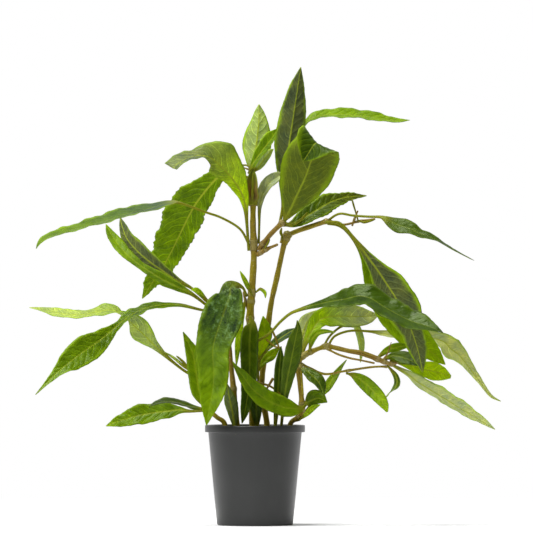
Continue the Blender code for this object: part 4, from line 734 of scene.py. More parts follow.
class LeafPath:
    """A leaf's midrib, read by its shares of the length from stalk to tip."""

    def __init__(self, leaf):
        self.leaf = leaf
        self.samples = smooth_stations(leaf.stations)
        lengths = lengths_along(self.samples[:, :3])
        self.samples[:, 1] += leaf.sweep * (lengths / lengths[-1]) ** SWEEP_BEND
        self.lengths = lengths_along(self.samples[:, :3])
        self.length = self.lengths[-1]
        wide = np.nonzero(self.samples[:, 4] > WIDEST_PETIOLE)[0]
        self.blade_start = self.lengths[wide[0]] / self.length if len(wide) else 1.0

    def read(self, shares):
        wanted = np.clip(shares, 0.0, 1.0) * self.length
        return np.stack([np.interp(wanted, self.lengths, column) for column in self.samples.T], axis=-1)

    def frame(self, shares):
        """Points, directions across the blade and the upper side's normals."""
        step = 0.5 / len(self.samples)
        here = self.read(shares)
        held = np.clip(shares, 0.0, 1.0)
        tangent = unit(self.read(held + step)[:, :3] - self.read(held - step)[:, :3])
        front = unit(FRONT - tangent * (tangent @ FRONT)[:, None])
        outward = np.cross(tangent, front) * self.leaf.side
        angle = np.radians(here[:, 3])[:, None]
        normal = outward * np.cos(angle) + front * np.sin(angle)
        across = unit(np.cross(normal, tangent)) * -self.leaf.side
        centre = here[:, :3] + tangent * (np.minimum(shares, 0.0) * self.length)[:, None]
        return centre, across, normal

    def blade_share(self, shares):
        return np.maximum(0.0, (shares - self.blade_start) / max(1e-6, 1.0 - self.blade_start))


def shell_faces(rows, ring):
    """Quads round a closed tube of rows rings, and a fan at each end round one more point."""
    faces = []
    for row in range(rows - 1):
        start = row * ring
        for index in range(ring):
            after = (index + 1) % ring
            faces.append((start + index, start + after, start + ring + after, start + ring + index))
    first, last = rows * ring, rows * ring + 1
    end = (rows - 1) * ring
    for index in range(ring):
        after = (index + 1) % ring
        faces.append((after, index, first))
        faces.append((end + index, end + after, last))
    return faces


def outward_faces(points, faces):
    """The faces of a closed solid, turned round if they point inwards."""
    quads = np.array([face for face in faces if len(face) == 4])
    a, b, c, d = points[quads.T]
    volume = np.einsum("ij,ij->", a, np.cross(b, c)) + np.einsum("ij,ij->", a, np.cross(c, d))
    return faces if volume >= 0 else [tuple(reversed(face)) for face in faces]


def add_object(name, data):
    added = bpy.data.objects.new(name, data)
    bpy.context.scene.collection.objects.link(added)
    return added


def add_values(mesh, name, values):
    """Stores a number or a colour at each of the mesh's points."""
    kind, field = ("FLOAT_COLOR", "color") if values.ndim == 2 else ("FLOAT", "value")
    layer = mesh.attributes.new(name, kind, "POINT")
    layer.data.foreach_set(field, values.astype(np.float32).ravel())


def new_mesh(name, points, edges, faces):
    """A mesh from points in millimetres."""
    mesh = bpy.data.meshes.new(name)
    mesh.from_pydata((points * MM).tolist(), edges, faces)
    return mesh


def add_piece(name, points, faces, slot, values=None):
    mesh = new_mesh(name, points, [], faces)
    mesh.shade_smooth()
    for key, layer in (values or {}).items():
        add_values(mesh, key, layer)
    mesh.materials.append(find_material(slot))
    return add_object(name, mesh)


def finish_piece(piece, slot, *nodes):
    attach(piece, "root")
    if nodes:
        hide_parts(*nodes)


def column_sides(columns):
    """Places across the blade from -1 to 1, closer together at the midrib."""
    steps = np.linspace(-1.0, 1.0, columns)
    return np.sign(steps) * np.abs(steps) ** 1.35


def tone_colours(look, shares, face):
    """The colour of the leaf's tones at each row and on each side, which on some leaves carry painted sheen,
    painted shade and painted light let through.
    """
    reach = np.clip((shares - TIP_TONE_START) / (1.0 - TIP_TONE_START) * 1.6, 0.0, 1.0)
    upper, tip, under = (np.array(TONES[tone]) for tone in (look.upper, look.tip, look.under))
    upper = upper + np.outer(reach, tip - upper)
    colours = face[..., None] * upper[:, None] + (1.0 - face[..., None]) * under
    return np.concatenate((colours, np.ones(face.shape + (1,))), axis=-1)


def ring_values(upper, lower):
    """Values round a leaf's section: across its upper side, then back across its underside."""
    return np.concatenate((upper, lower[:, -2:0:-1]), axis=1)


def with_ends(values, ring):
    """Values at the rings' points, with the means of the first and the last ring after them."""
    return np.concatenate((values, [values[:ring].mean(axis=0), values[-ring:].mean(axis=0)]))


def leaf_shell(leaf, settings):
    """Points and faces of a leaf's closed skin, and the values that its material reads."""
    path = LeafPath(leaf)
    rows = max(14, round((path.length + ROOT_DEPTH) * MM / settings.row_length))
    columns = 2 * max(4, round(path.samples[:, 4].max() * MM / settings.column_width / 2)) + 1
    shares = np.linspace(-ROOT_DEPTH / path.length, 1.0, rows)
    centre, across, normal = (part[:, None] for part in path.frame(shares))
    width = np.maximum(TIP_WIDTH * np.minimum(1.0, (1.02 - shares) * 8), path.read(shares)[:, 4])[:, None]
    blade_share = path.blade_share(shares)[:, None]
    shares = shares[:, None]
    blade = np.minimum(1.0, 4 * blade_share)
    strength = np.minimum(1.0, 3 * blade_share)
    fade = strength * np.clip((1.0 - shares) * 6, 0.0, 1.0)
    along = np.maximum(shares, 0.0) * path.length
    sides = column_sides(columns)[None]
    sign = np.sign(sides)
    left = np.abs(sides)
    right_half = sides > 0
    number = sum(ord(letter) for letter in leaf.name)

    half = width / 2 * (1 + leaf.lean * strength * sign)
    teeth = np.abs(((along / TOOTH_SPACING + number * 0.37) % 1.0) - 0.35) - 0.3
    ragged = np.sin(along * 0.47 + number) * 0.5 + np.sin(along * 1.13 + number * 2.1) * 0.3
    notch = leaf.look.teeth * (teeth + 0.5 * ragged * sign) * strength
    reach = half * left + notch * left ** 3 * np.minimum(1.0, half / 3.0)
    tilt = np.radians(leaf.fold + leaf.curl * left / 2) * strength
    roll = np.sin(along * 0.42 + number + 1.9 * right_half)
    roll = roll + 0.5 * np.sin(along * 0.93 + number * 1.7 + 2.6 * right_half)
    wave = leaf.look.wave * roll * left ** 2 * fade * np.minimum(1.0, half / 5.0)

    slant = settings.vein_slant * (0.75 + 0.7 * left)
    uneven = 0.5 * np.sin(along * 0.83 + number + 2.2 * right_half)
    uneven = uneven + 0.6 * np.sin(along * 0.31 + reach * 0.2 + number * 1.9 + 1.3 * right_half)
    phase = (along - reach * slant + uneven * np.minimum(1.0, reach / 2)) * MM / settings.vein_spacing
    phase = phase + 0.5 * right_half
    bulge = 0.5 + 0.5 * np.cos(2 * np.pi * phase)
    near_rib = np.clip(reach / 1.5, 0.0, 1.0)
    puffed = settings.quilting / MM * min(1.0, 0.15 + leaf.look.veins)
    quilt = puffed * (bulge - 0.5) * fade * near_rib * (1.0 - left ** 4)
    rise = reach * np.sin(tilt) + wave + quilt
    middle = centre + across * (reach * sign * np.cos(tilt))[..., None] + normal * rise[..., None]

    rib = np.exp(-(reach / RIB_WIDTH) ** 2) * (np.clip(1.15 - shares, 0.0, 1.0) * blade)
    round_half = PETIOLE_THICKNESS / 2 * np.sqrt(np.maximum(0.0, 1.0 - sides ** 2))
    blade_half = settings.blade_thickness / MM / 2 * np.sqrt(np.maximum(0.0, 1.0 - left ** 6))
    thick = round_half * (1 - blade) + blade_half * blade
    thick = thick * np.clip((1.004 - shares) * 30, 0.05, 1.0)
    top = middle + normal * (thick - RIB_GROOVE * rib)[..., None]
    bottom = middle - normal * (thick + settings.rib_height / MM * rib)[..., None]

    face = ring_values(np.ones((rows, columns)), np.zeros((rows, columns)))
    face[:, (0, columns - 1)] = 0.5
    values = {"leaf_face": face, "leaf_tint": tone_colours(leaf.look, shares[:, 0], face)}
    for name, part in (
            ("across", reach * sign), ("along", along), ("margin", left), ("blade", blade), ("phase", phase),
            ("share", np.maximum(shares, 0.0)), ("veins", leaf.look.veins), ("rim", leaf.look.rim),
            ("crumple", leaf.look.crumple)):
        grid = np.broadcast_to(part, (rows, columns))
        values["leaf_" + name] = ring_values(grid, grid)
    points = ring_values(top, bottom)
    ring = points.shape[1]
    values = {
        key: with_ends(grid.reshape(rows * ring, *grid.shape[2:]), ring) for key, grid in values.items()}
    points = with_ends(points.reshape(-1, 3), ring)
    return points, outward_faces(points, shell_faces(rows, ring)), values


def add_leaf(leaf, *nodes):
    points, faces, values = leaf_shell(leaf, bpy.context.scene.temple_plant_leaves)
    finish_piece(add_piece(leaf.name + "_skin", points, faces, leaf.slot, values), leaf.slot, *nodes)


def make_leaves(leaves):
    """Each leaf with its own skin, in place of its plain solid."""
    for leaf in leaves:
        add_leaf(leaf, leaf.name)


def modifier_inputs(modifier, **values):
    """Sets the modifier's inputs through the identifiers of their sockets."""
    sockets = {
        item.name: item.identifier for item in modifier.node_group.interface.items_tree
        if item.item_type == "SOCKET" and item.in_out == "INPUT"}
    for name, value in values.items():
        modifier[sockets[name.replace("_", " ")]] = value


def grown_mesh(name, guide_mesh, tree, **values):
    """The mesh that a node tree grows from a guide, as a plain object."""
    guide = add_object(name + "_guide", guide_mesh)
    modifier = guide.modifiers.new(tree.name, "NODES")
    modifier.node_group = tree
    modifier_inputs(modifier, **values)
    bpy.context.view_layer.update()
    evaluated = guide.evaluated_get(bpy.context.evaluated_depsgraph_get())
    mesh = bpy.data.meshes.new_from_object(evaluated)
    guide.modifiers.remove(modifier)
    bpy.data.objects.remove(guide)
    bpy.data.meshes.remove(guide_mesh)
    if not mesh.polygons:
        raise RuntimeError(name + " came out empty")
    mesh.name = name
    return add_object(name, mesh)


def finish_growth(build, end, grown, material):
    """Smooths what a tree has grown, makes it real and gives it its material."""
    smooth = build.add("GeometryNodeSetShadeSmooth", Geometry=grown)
    real = build.add("GeometryNodeRealizeInstances", Geometry=smooth.outputs[0])
    skinned = build.add("GeometryNodeSetMaterial", Geometry=real.outputs[0], Material=material)
    build.put(end.inputs[0], skinned.outputs[0])
    return build.tree


def stem_skin_tree():
    """Grows a stem's uneven skin round a line of points that carry their radius."""
    geometry, number = "NodeSocketGeometry", "NodeSocketFloat"
    build, given, end = new_group(
        "stem_skin", "GeometryNodeTree",
        {"Geometry": (geometry, None), "Sides": ("NodeSocketInt", 20), "Relief": (number, 0.0001),
         "Grain": (number, 420.0), "Skin": ("NodeSocketMaterial", None)},
        {"Geometry": geometry})
    radius = build.add("GeometryNodeInputNamedAttribute", {"data_type": "FLOAT"}, Name="stem_radius")
    line = build.add("GeometryNodeMeshToCurve", Mesh=given["Geometry"])
    section = build.add("GeometryNodeCurvePrimitiveCircle", Resolution=given["Sides"], Radius=1.0)
    tube = build.add(
        "GeometryNodeCurveToMesh", Curve=line.outputs["Curve"], Profile_Curve=section.outputs["Curve"],
        Scale=radius.outputs["Attribute"], Fill_Caps=True)
    joined = build.add("GeometryNodeMergeByDistance", Geometry=tube.outputs["Mesh"], Distance=0.000005)
    bumps = build.centred(build.noise(build.source("GeometryNodeInputPosition"), given["Grain"], 2.0))
    push = build.add(
        "ShaderNodeVectorMath", {"operation": "SCALE"}, Vector=build.source("GeometryNodeInputNormal"),
        Scale=build.times(bumps, given["Relief"]))
    moved = build.add("GeometryNodeSetPosition", Geometry=joined.outputs[0], Offset=push.outputs[0])
    return finish_growth(build, end, moved.outputs[0], given["Skin"])


def stem_line(points, step):
    """Close points along a smooth curve through the stem's points, and their distances from its foot."""
    samples = smooth_stations(points)
    lengths = lengths_along(samples)
    wanted = np.linspace(0.0, lengths[-1], max(3, round(lengths[-1] / step)))
    return np.stack([np.interp(wanted, lengths, column) for column in samples.T], axis=-1), wanted


def growth_places(line, along, own_name):
    """How far along the stem its leaves and side stems grow."""
    starts = [leaf.stations[0][:3] for leaf in LEAVES + SPROUT_LEAVES]
    starts += [stem.points[0] for stem in STEMS if stem.name != own_name]
    away = [np.linalg.norm(line - np.array(start), axis=1) for start in starts]
    return [along[distance.argmin()] for distance in away if distance.min() < NODE_REACH]


def stem_guide(stem, settings, rooted):
    """The stem's centre line with the values that its skin and its material read."""
    line, along = stem_line(stem.points, settings.step / MM)
    radius = stem.radii[0] + (stem.radii[1] - stem.radii[0]) * (along / along[-1])
    node = np.zeros(len(line))
    for place in growth_places(line, along, stem.name):
        node = np.maximum(node, np.exp(-((along - place) / NODE_LENGTH) ** 2))
    slight = 1.0 + 0.05 * np.sin(along * 0.31 + line[0, 0]) + 0.03 * np.sin(along * 0.83 + line[0, 1])
    radius = radius * slight + settings.node_swelling / MM * node * np.minimum(1.0, radius)
    brown = stem.brown + 0.25 * np.sin(along * 0.085 + line[0, 0])
    if not rooted:
        line = np.concatenate(([line[0] - unit(line[1] - line[0]) * STEM_ROOT_DEPTH], line))
        along = np.concatenate(((-STEM_ROOT_DEPTH,), along))
        radius, node, brown = (np.pad(values, (1, 0), "edge") for values in (radius, node, brown))
    end = line[-1] + unit(line[-1] - line[-2]) * radius[-1] * STEM_END_ROUNDING
    line = np.concatenate((line, [end]))
    along = np.concatenate((along, along[-1:] + radius[-1] * STEM_END_ROUNDING))
    radius = np.concatenate((radius, radius[-1:] * 0.45))
    node, brown = (np.pad(values, (0, 1), "edge") for values in (node, brown))
    mesh = new_mesh(stem.name + "_line", line, [(index, index + 1) for index in range(len(line) - 1)], [])
    for key, values in (("stem_radius", radius * MM), ("stem_node", node), ("stem_along", along),
                        ("stem_brown", np.clip(brown, 0.0, 1.0))):
        add_values(mesh, key, values)
    return mesh


def add_stem(stem, settings, tree, *nodes):
    guide = stem_guide(stem, settings, rooted=stem.points[0][2] == STEM_FOOT_HEIGHT)
    piece = grown_mesh(
        stem.name + "_skin", guide, tree, Sides=settings.sides, Relief=settings.relief,
        Skin=find_material("stem"))
    finish_piece(piece, "stem", *nodes)


def stem_bark_group():
    """Turns a stem's own coordinates into its streaked colour and its relief."""
    number, colour = "NodeSocketFloat", "NodeSocketColor"
    build, given, end = new_group(
        "stem_bark", "ShaderNodeTree",
        {"Olive": (colour, None), "Brown": (colour, None), "Scar": (colour, (0.34, 0.33, 0.17, 1.0))},
        {"Colour": colour, "Height": number})
    place = build.source("ShaderNodeTexCoord", "Object")
    node = build.reading("stem_node")
    squeezed = build.ordered(
        "ShaderNodeVectorMath", (place, (1400.0, 1400.0, 190.0)), {"operation": "MULTIPLY"})
    streaks = build.noise(squeezed, 1.0, 3.0, 0.6)
    blotches = build.noise(place, 130.0, 3.0, 0.6)
    factor = build.math("ADD", build.reading("stem_brown"), build.times(build.centred(blotches), 1.6))
    factor = build.math("ADD", factor, build.times(build.centred(streaks), 1.0), clamp=True)
    skin = build.mix(factor, given["Olive"], given["Brown"])
    shade = build.scaled(streaks, 0.9, 0.55)
    skin = build.mix(1.0, skin, build.vector(shade, shade, shade), "MULTIPLY")
    specks = build.ramp(build.noise(place, 950.0, 1.0), 0.66, 0.72)
    skin = build.mix(build.times(specks, 0.45), skin, (0.40, 0.36, 0.18, 1.0))
    skin = build.mix(build.times(build.ramp(node, 0.45, 0.95), 0.3), skin, given["Scar"])
    ring = build.times(build.ramp(node, 0.62, 0.72), build.ramp(node, 0.86, 0.76))
    skin = build.mix(build.times(ring, 0.35), skin, (0.08, 0.05, 0.015, 1.0))
    ribs = build.times(build.math("SINE", build.times(build.reading("stem_along"), 7.0)), 0.12)
    height = build.math("ADD", build.math("SUBTRACT", streaks, ring), ribs)
    build.fill(end, Colour=skin, Height=height)
    return build.tree


def stem_material(settings):
    build, shader = new_material("stem")
    bark = build.add(
        "ShaderNodeGroup", {"node_tree": stem_bark_group()}, Olive=(*settings.olive, 1.0),
        Brown=(*settings.brown, 1.0)).outputs
    build.fill(
        shader, Base_Color=bark["Colour"], Roughness=0.48, Specular_IOR_Level=0.25,
        Specular_Tint=(1.0, 0.95, 0.55, 1.0), Normal=build.bump(0.6, 0.0002, bark["Height"]))


def pot_radius(height):
    return POT_FOOT_RADIUS + (POT_TOP_RADIUS - RIM_OVERHANG - POT_FOOT_RADIUS) * height / POT_HEIGHT


def rounded(corner, before, after, radius, steps=5):
    """Points of a rounded corner of a profile."""
    corner, before, after = (np.array(point, dtype=float) for point in (corner, before, after))
    start = corner + unit(before - corner) * radius
    end = corner + unit(after - corner) * radius
    shares = np.linspace(0.0, 1.0, steps)[:, None]
    return ((1 - shares) ** 2 * start + 2 * shares * (1 - shares) * corner + shares ** 2 * end).tolist()


def rounded_profile(points, radii):
    """A turned profile whose corners are rounded; the first and the last lie on the axis."""
    profile = [points[0]]
    for before, corner, after, radius in zip(points, points[1:], points[2:], radii):
        profile += rounded(corner, before, after, radius)
    return profile + [points[-1]]


def split_profile(profile, step):
    """The profile with long runs split into equal parts."""
    points = [profile[0]]
    for start, end in zip(profile, profile[1:]):
        parts = max(1, round(math.dist(start, end) / step))
        for share in (part / parts for part in range(1, parts + 1)):
            points.append([start[0] + (end[0] - start[0]) * share, start[1] + (end[1] - start[1]) * share])
    return points


def turned(profile, sides):
    """Points and faces of a closed solid turned from a profile that starts and ends on the axis."""
    angles = np.linspace(0.0, 2 * math.pi, sides, endpoint=False)
    rings = np.array(profile[1:-1])
    x, y = (rings[:, :1] * part(angles)[None] for part in (np.cos, np.sin))
    points = np.stack((x, y, np.broadcast_to(rings[:, 1:], x.shape)), axis=-1).reshape(-1, 3)
    points = np.concatenate((points, [(0.0, 0.0, profile[0][1]), (0.0, 0.0, profile[-1][1])]))
    return points, outward_faces(points, shell_faces(len(rings), sides))


def make_pot(scene):
    """The turned pot: a thin tapering wall, a floor and a broader rim with rounded edges."""
    settings = scene.temple_plant_pot
    edge = settings.edge / MM
    wall = settings.wall / MM
    under_rim = POT_HEIGHT - RIM_HEIGHT
    profile = rounded_profile((
        (0.0, 0.0), (POT_FOOT_RADIUS, 0.0), (pot_radius(under_rim), under_rim), (POT_TOP_RADIUS, under_rim),
        (POT_TOP_RADIUS, POT_HEIGHT), (POT_TOP_RADIUS - wall, POT_HEIGHT),
        (pot_radius(under_rim) - wall, under_rim), (pot_radius(POT_FLOOR) - wall, POT_FLOOR),
        (0.0, POT_FLOOR)),
        (FOOT_EDGE, 0.25, 0.25, edge, 0.45, 0.6, 0.8))
    points, faces = turned(split_profile(profile, 2.5), settings.sides)
    finish_piece(add_piece("pot_skin", points, faces, "pot"), "pot", "pot")


def pot_material(settings):
    build, shader = new_material("pot")
    place = build.source("ShaderNodeTexCoord", "Object")
    roughness = build.scaled(build.noise(place, 60.0, 3.0), 0.22, 0.24)
    build.fill(
        shader, Base_Color=(*settings.colour, 1.0), Specular_IOR_Level=0.5, Roughness=roughness,
        Normal=build.bump(0.25, 0.0001, build.noise(place, 900.0, 2.0)))


def wool_tree():
    """Covers the plug's top with short bent fibres."""
    geometry, number = "NodeSocketGeometry", "NodeSocketFloat"
    build, given, end = new_group(
        "wool_fibres", "GeometryNodeTree",
        {"Geometry": (geometry, None), "Fibres": ("NodeSocketInt", 2600), "Area": (number, 0.0016),
         "Length": (number, 0.004), "Radius": (number, 0.00008), "Seed": ("NodeSocketInt", 7),
         "Wool": ("NodeSocketMaterial", None)},
        {"Geometry": geometry})
    split = build.add("ShaderNodeSeparateXYZ", Vector=build.source("GeometryNodeInputNormal"))
    points = build.add(
        "GeometryNodeDistributePointsOnFaces", Mesh=given["Geometry"],
        Selection=build.math("GREATER_THAN", split.outputs["Z"], 0.75),
        Density=build.math("DIVIDE", given["Fibres"], given["Area"]), Seed=given["Seed"])
    half = build.times(given["Length"], 0.5)
    start, start_handle, end_handle = (
        build.vector(*[build.times(half, share) if share else 0.0 for share in shares])
        for shares in ((-1.0, 0.0, 0.0), (-0.4, 0.35, 0.1), (0.4, 0.25, 0.12)))
    bow = build.add(
        "GeometryNodeCurvePrimitiveBezierSegment", Resolution=5, Start=start, Start_Handle=start_handle,
        End_Handle=end_handle, End=build.vector(half, 0.0, 0.0))
    section = build.add("GeometryNodeCurvePrimitiveCircle", Resolution=4, Radius=given["Radius"])
    fibre = build.add(
        "GeometryNodeCurveToMesh", Curve=bow.outputs[0], Profile_Curve=section.outputs["Curve"],
        Fill_Caps=True)
    turn = build.add(
        "FunctionNodeRandomValue", {"data_type": "FLOAT_VECTOR"}, Seed=given["Seed"], Min=(-0.28, -0.28, 0.0),
        Max=(0.28, 0.28, 2 * math.pi))
    size = build.add("FunctionNodeRandomValue", {"data_type": "FLOAT"}, Seed=given["Seed"])
    size.inputs[2].default_value = 0.5
    size.inputs[3].default_value = 1.3
    placed = build.add(
        "GeometryNodeInstanceOnPoints", Points=points.outputs["Points"], Instance=fibre.outputs[0],
        Rotation=turn.outputs[0], Scale=size.outputs[1])
    join = build.add("GeometryNodeJoinGeometry", Geometry=given["Geometry"])
    build.fill(join, Geometry=placed.outputs[0])
    return finish_growth(build, end, join.outputs[0], given["Wool"])


def make_wool(scene):
    """The wool plug: an uneven cushion inside the pot, with loose fibres on top."""
    settings = scene.temple_plant_wool
    inner = pot_radius(POT_HEIGHT - RIM_HEIGHT) - 1.25
    foot = pot_radius(PLUG_FOOT) - 1.3
    profile = rounded_profile(
        ((0.0, PLUG_FOOT), (foot, PLUG_FOOT), (inner, PLUG_TOP), (0.0, PLUG_TOP)), (1.2, 1.8))
    points, faces = turned(split_profile(profile, 0.9), PLUG_SIDES)
    x, y, height = points.T
    top = np.clip((height - PLUG_TOP + 2.2) / 2.0, 0.0, 1.0)
    top = top * np.clip((inner - np.hypot(x, y)) / 1.2, 0.0, 1.0)
    waves = (np.sin(x * 0.61 + 0.4) * np.cos(y * 0.57 + 1.1) + 0.6 * np.sin(x * 1.27 + y * 0.83)
             + 0.4 * np.cos(y * 1.9 - x * 1.13))
    points[:, 2] += top * (0.38 * waves - 0.9)
    piece = grown_mesh(
        "wool_plug_skin", new_mesh("wool_cushion", points, [], faces), wool_tree(), Fibres=settings.fibres,
        Area=math.pi * (inner * MM) ** 2, Length=settings.fibre_length, Radius=settings.fibre_radius,
        Wool=find_material("rock_wool"))
    finish_piece(piece, "rock_wool", "rock_wool_plug")


def wool_material(settings):
    build, shader = new_material("rock_wool")
    place = build.source("ShaderNodeTexCoord", "Object")
    clouds = build.noise(place, 210.0, 4.0, 0.65)
    damp = build.ramp(build.noise(place, 75.0, 2.0), 0.45, 0.65)
    colour = build.mix(clouds, (*[part * 0.55 for part in settings.colour], 1.0), (*settings.colour, 1.0))
    build.fill(
        shader, Base_Color=build.mix(build.times(damp, 0.55), colour, (0.10, 0.12, 0.035, 1.0)),
        Roughness=0.9, Specular_IOR_Level=0.2,
        Normal=build.bump(0.8, 0.0004, build.noise(place, 1500.0, 2.0)))


def make_materials(scene):
    """One material for each slot, named after it."""
    leaf_materials()
    stem_material(scene.temple_plant_stems)
    pot_material(scene.temple_plant_pot)
    wool_material(scene.temple_plant_wool)


def make_stems(scene):
    """The stems, branches and twigs of the plant, each in place of its plain solid."""
    tree = stem_skin_tree()
    for stem in STEMS:
        add_stem(stem, scene.temple_plant_stems, tree, stem.name)


def make_small_pieces(scene):
    """Sprouts, buds, stubs and dried pieces, which have no solid of their own."""
    tree = bpy.data.node_groups["stem_skin"]
    for stem in SMALL_STEMS:
        add_stem(stem, scene.temple_plant_stems, tree)
    for leaf in SPROUT_LEAVES:
        add_leaf(leaf)


def world_light(settings):
    """White behind the plant for the camera, and light that is stronger from the back."""
    world = bpy.data.worlds.new("studio_world")
    bpy.context.scene.world = world
    world.use_nodes = True
    build = NodeBuilder(world.node_tree)
    split = build.add("ShaderNodeSeparateXYZ", Vector=build.source("ShaderNodeTexCoord", "Generated"))
    back = build.ramp(split.outputs["Y"], -0.6, 0.8, settings.front_dim, settings.backdrop)
    above = build.ramp(split.outputs["Z"], -0.9, 0.5, 0.75, 1.0)
    level = build.times(back, above)
    seen = build.source("ShaderNodeLightPath", "Is Camera Ray")
    shade = build.mix(seen, build.vector(level, level, level), grey(1.0))
    build.fill(world.node_tree.nodes["Background"], Color=shade, Strength=1.0)


def add_softbox(name, place, aim, size, power):
    light = bpy.data.lights.new(name, "AREA")
    light.shape = "SQUARE"
    light.size = size
    light.energy = power
    lamp = add_object(name, light)
    lamp.location = place
    lamp.rotation_euler = (Vector(aim) - Vector(place)).to_track_quat("-Z", "Y").to_euler()


def make_floor(settings):
    """A pale disc that fades to the backdrop's white away from the pot."""
    sides = 96
    angles = [2 * math.pi * index / sides for index in range(sides)]
    radius = settings.floor_radius
    points = [(radius * math.cos(angle), radius * math.sin(angle), 0.0) for angle in angles]
    mesh = bpy.data.meshes.new("studio_floor")
    mesh.from_pydata(points, [], [tuple(range(sides))])
    build, shader = new_material("studio_floor")
    build.fill(shader, Base_Color=grey(0.86), Roughness=0.85)
    place = build.source("ShaderNodeTexCoord", "Object")
    reach = build.add("ShaderNodeVectorMath", {"operation": "LENGTH"}, Vector=place)
    away = build.ramp(reach.outputs["Value"], 0.03, settings.floor_radius * 0.55)
    white = build.add("ShaderNodeEmission", Color=grey(1.0), Strength=1.0)
    build.blend_shaders(away, shader.outputs[0], white.outputs[0])
    mesh.materials.append(find_material("studio_floor"))
    floor = add_object("studio_floor", mesh)


def make_camera(settings):
    """A long lens that looks level along the depth axis."""
    data = bpy.data.cameras.new("studio_camera")
    data.sensor_width = 36.0
    data.lens = settings.camera_distance / settings.pixel / IMAGE_PIXELS * data.sensor_width
    data.clip_end = 30.0
    camera = add_object("studio_camera", data)
    camera.location = (settings.aim_x, -settings.camera_distance, settings.aim_z)
    camera.rotation_euler = (math.pi / 2, 0.0, 0.0)
    bpy.context.scene.camera = camera


def make_stage(scene):
    settings = scene.temple_plant_stage
    scene.view_settings.view_transform = "Standard"
    world_light(settings)
    middle = (0.0, 0.0, 0.12)
    add_softbox("overhead_softbox", (-0.4, -0.1, 1.3), middle, 0.7, settings.overhead_power)
    add_softbox("front_left_softbox", (-1.3, -1.6, 1.5), middle, 0.7, settings.fill_power)
    make_floor(settings)
    make_camera(settings)


class PlantStep:
    """What the steps share: each builds its pieces in the scene, and can be undone"""
    bl_options = {"REGISTER", "UNDO"}

    def execute(self, context):
        self.build(context.scene)
        return {"FINISHED"}


class TEMPLE_PLANT_OT_materials(PlantStep, Operator):
    """Makes the materials of the plant, the wool and the pot"""
    bl_idname = "temple_plant.materials"
    bl_label = "Make Materials"

    def build(self, scene):
        make_materials(scene)


class TEMPLE_PLANT_OT_pot(PlantStep, Operator):
    """Adds the turned plastic pot"""
    bl_idname = "temple_plant.pot"
    bl_label = "Add Pot"

    def build(self, scene):
        make_pot(scene)


class TEMPLE_PLANT_OT_wool(PlantStep, Operator):
    """Adds the wool plug with its loose fibres"""
    bl_idname = "temple_plant.wool"
    bl_label = "Add Wool Plug"

    def build(self, scene):
        make_wool(scene)


class TEMPLE_PLANT_OT_stems(PlantStep, Operator):
    """Adds the stems, branches and twigs"""
    bl_idname = "temple_plant.stems"
    bl_label = "Add Stems"

    def build(self, scene):
        make_stems(scene)


class TEMPLE_PLANT_OT_small_pieces(PlantStep, Operator):
    """Adds the sprouts, buds, stubs and dried pieces"""
    bl_idname = "temple_plant.small_pieces"
    bl_label = "Add Small Pieces"

    def build(self, scene):
        make_small_pieces(scene)


class TEMPLE_PLANT_OT_top_leaves(PlantStep, Operator):
    """Adds the leaves at the top of the plant"""
    bl_idname = "temple_plant.top_leaves"
    bl_label = "Add Top Leaves"

    def build(self, scene):
        make_leaves(TOP_LEAVES)


class TEMPLE_PLANT_OT_left_leaves(PlantStep, Operator):
    """Adds the leaves on the left"""
    bl_idname = "temple_plant.left_leaves"
    bl_label = "Add Left Leaves"

    def build(self, scene):
        make_leaves(LEFT_LEAVES)


class TEMPLE_PLANT_OT_centre_leaves(PlantStep, Operator):
    """Adds the leaves in the middle"""
    bl_idname = "temple_plant.centre_leaves"
    bl_label = "Add Centre Leaves"

    def build(self, scene):
        make_leaves(CENTRE_LEAVES)


class TEMPLE_PLANT_OT_right_leaves(PlantStep, Operator):
    """Adds the leaves on the right"""
    bl_idname = "temple_plant.right_leaves"
    bl_label = "Add Right Leaves"

    def build(self, scene):
        make_leaves(RIGHT_LEAVES)


class TEMPLE_PLANT_OT_low_right_leaves(PlantStep, Operator):
    """Adds the leaves low on the right"""
    bl_idname = "temple_plant.low_right_leaves"
    bl_label = "Add Low Right Leaves"

    def build(self, scene):
        make_leaves(LOW_RIGHT_LEAVES)


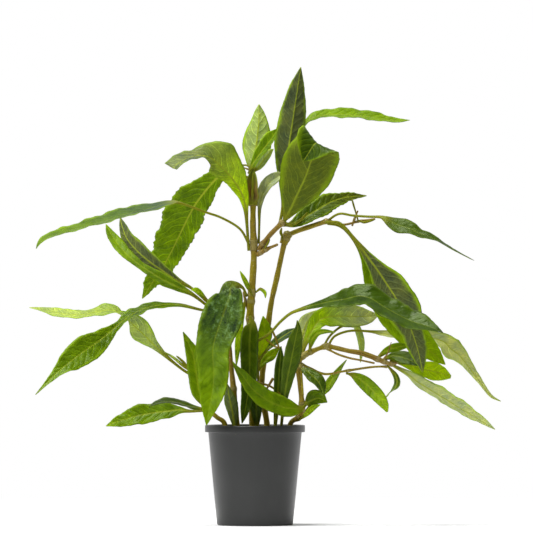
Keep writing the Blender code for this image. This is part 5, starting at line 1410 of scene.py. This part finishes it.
class TEMPLE_PLANT_OT_stage(PlantStep, Operator):
    """Adds the floor, the lights and the camera"""
    bl_idname = "temple_plant.stage"
    bl_label = "Add Stage"

    def build(self, scene):
        make_stage(scene)


class TEMPLE_PLANT_PT_panel(Panel):
    """Settings and steps of the temple plant"""
    bl_idname = "TEMPLE_PLANT_PT_panel"
    bl_label = "Temple Plant"
    bl_space_type = "VIEW_3D"
    bl_region_type = "UI"
    bl_category = "Temple Plant"

    def draw(self, context):
        for name, group in SETTINGS.items():
            box = self.layout.box()
            box.label(text=group.bl_rna.name)
            settings = getattr(context.scene, name)
            for key in group.__annotations__:
                box.prop(settings, key)
        for step in STEPS:
            self.layout.operator(step.bl_idname)


SETTINGS = {
    "temple_plant_leaves": LeafSettings,
    "temple_plant_stems": StemSettings,
    "temple_plant_pot": PotSettings,
    "temple_plant_wool": WoolSettings,
    "temple_plant_stage": StageSettings,
}

STEPS = (
    TEMPLE_PLANT_OT_materials,
    TEMPLE_PLANT_OT_pot,
    TEMPLE_PLANT_OT_wool,
    TEMPLE_PLANT_OT_stems,
    TEMPLE_PLANT_OT_small_pieces,
    TEMPLE_PLANT_OT_top_leaves,
    TEMPLE_PLANT_OT_left_leaves,
    TEMPLE_PLANT_OT_centre_leaves,
    TEMPLE_PLANT_OT_right_leaves,
    TEMPLE_PLANT_OT_low_right_leaves,
    TEMPLE_PLANT_OT_stage,
)


def register():
    for group in SETTINGS.values():
        bpy.utils.register_class(group)
    for name, group in SETTINGS.items():
        setattr(bpy.types.Scene, name, PointerProperty(type=group))
    for step in STEPS:
        bpy.utils.register_class(step)
    bpy.utils.register_class(TEMPLE_PLANT_PT_panel)


def unregister():
    bpy.utils.unregister_class(TEMPLE_PLANT_PT_panel)
    for step in reversed(STEPS):
        bpy.utils.unregister_class(step)
    for name in SETTINGS:
        delattr(bpy.types.Scene, name)
    for group in reversed(SETTINGS.values()):
        bpy.utils.unregister_class(group)


def main():
    register()
    for step in STEPS:
        area, name = step.bl_idname.split(".")
        getattr(getattr(bpy.ops, area), name)()


if __name__ == "__main__":
    main()
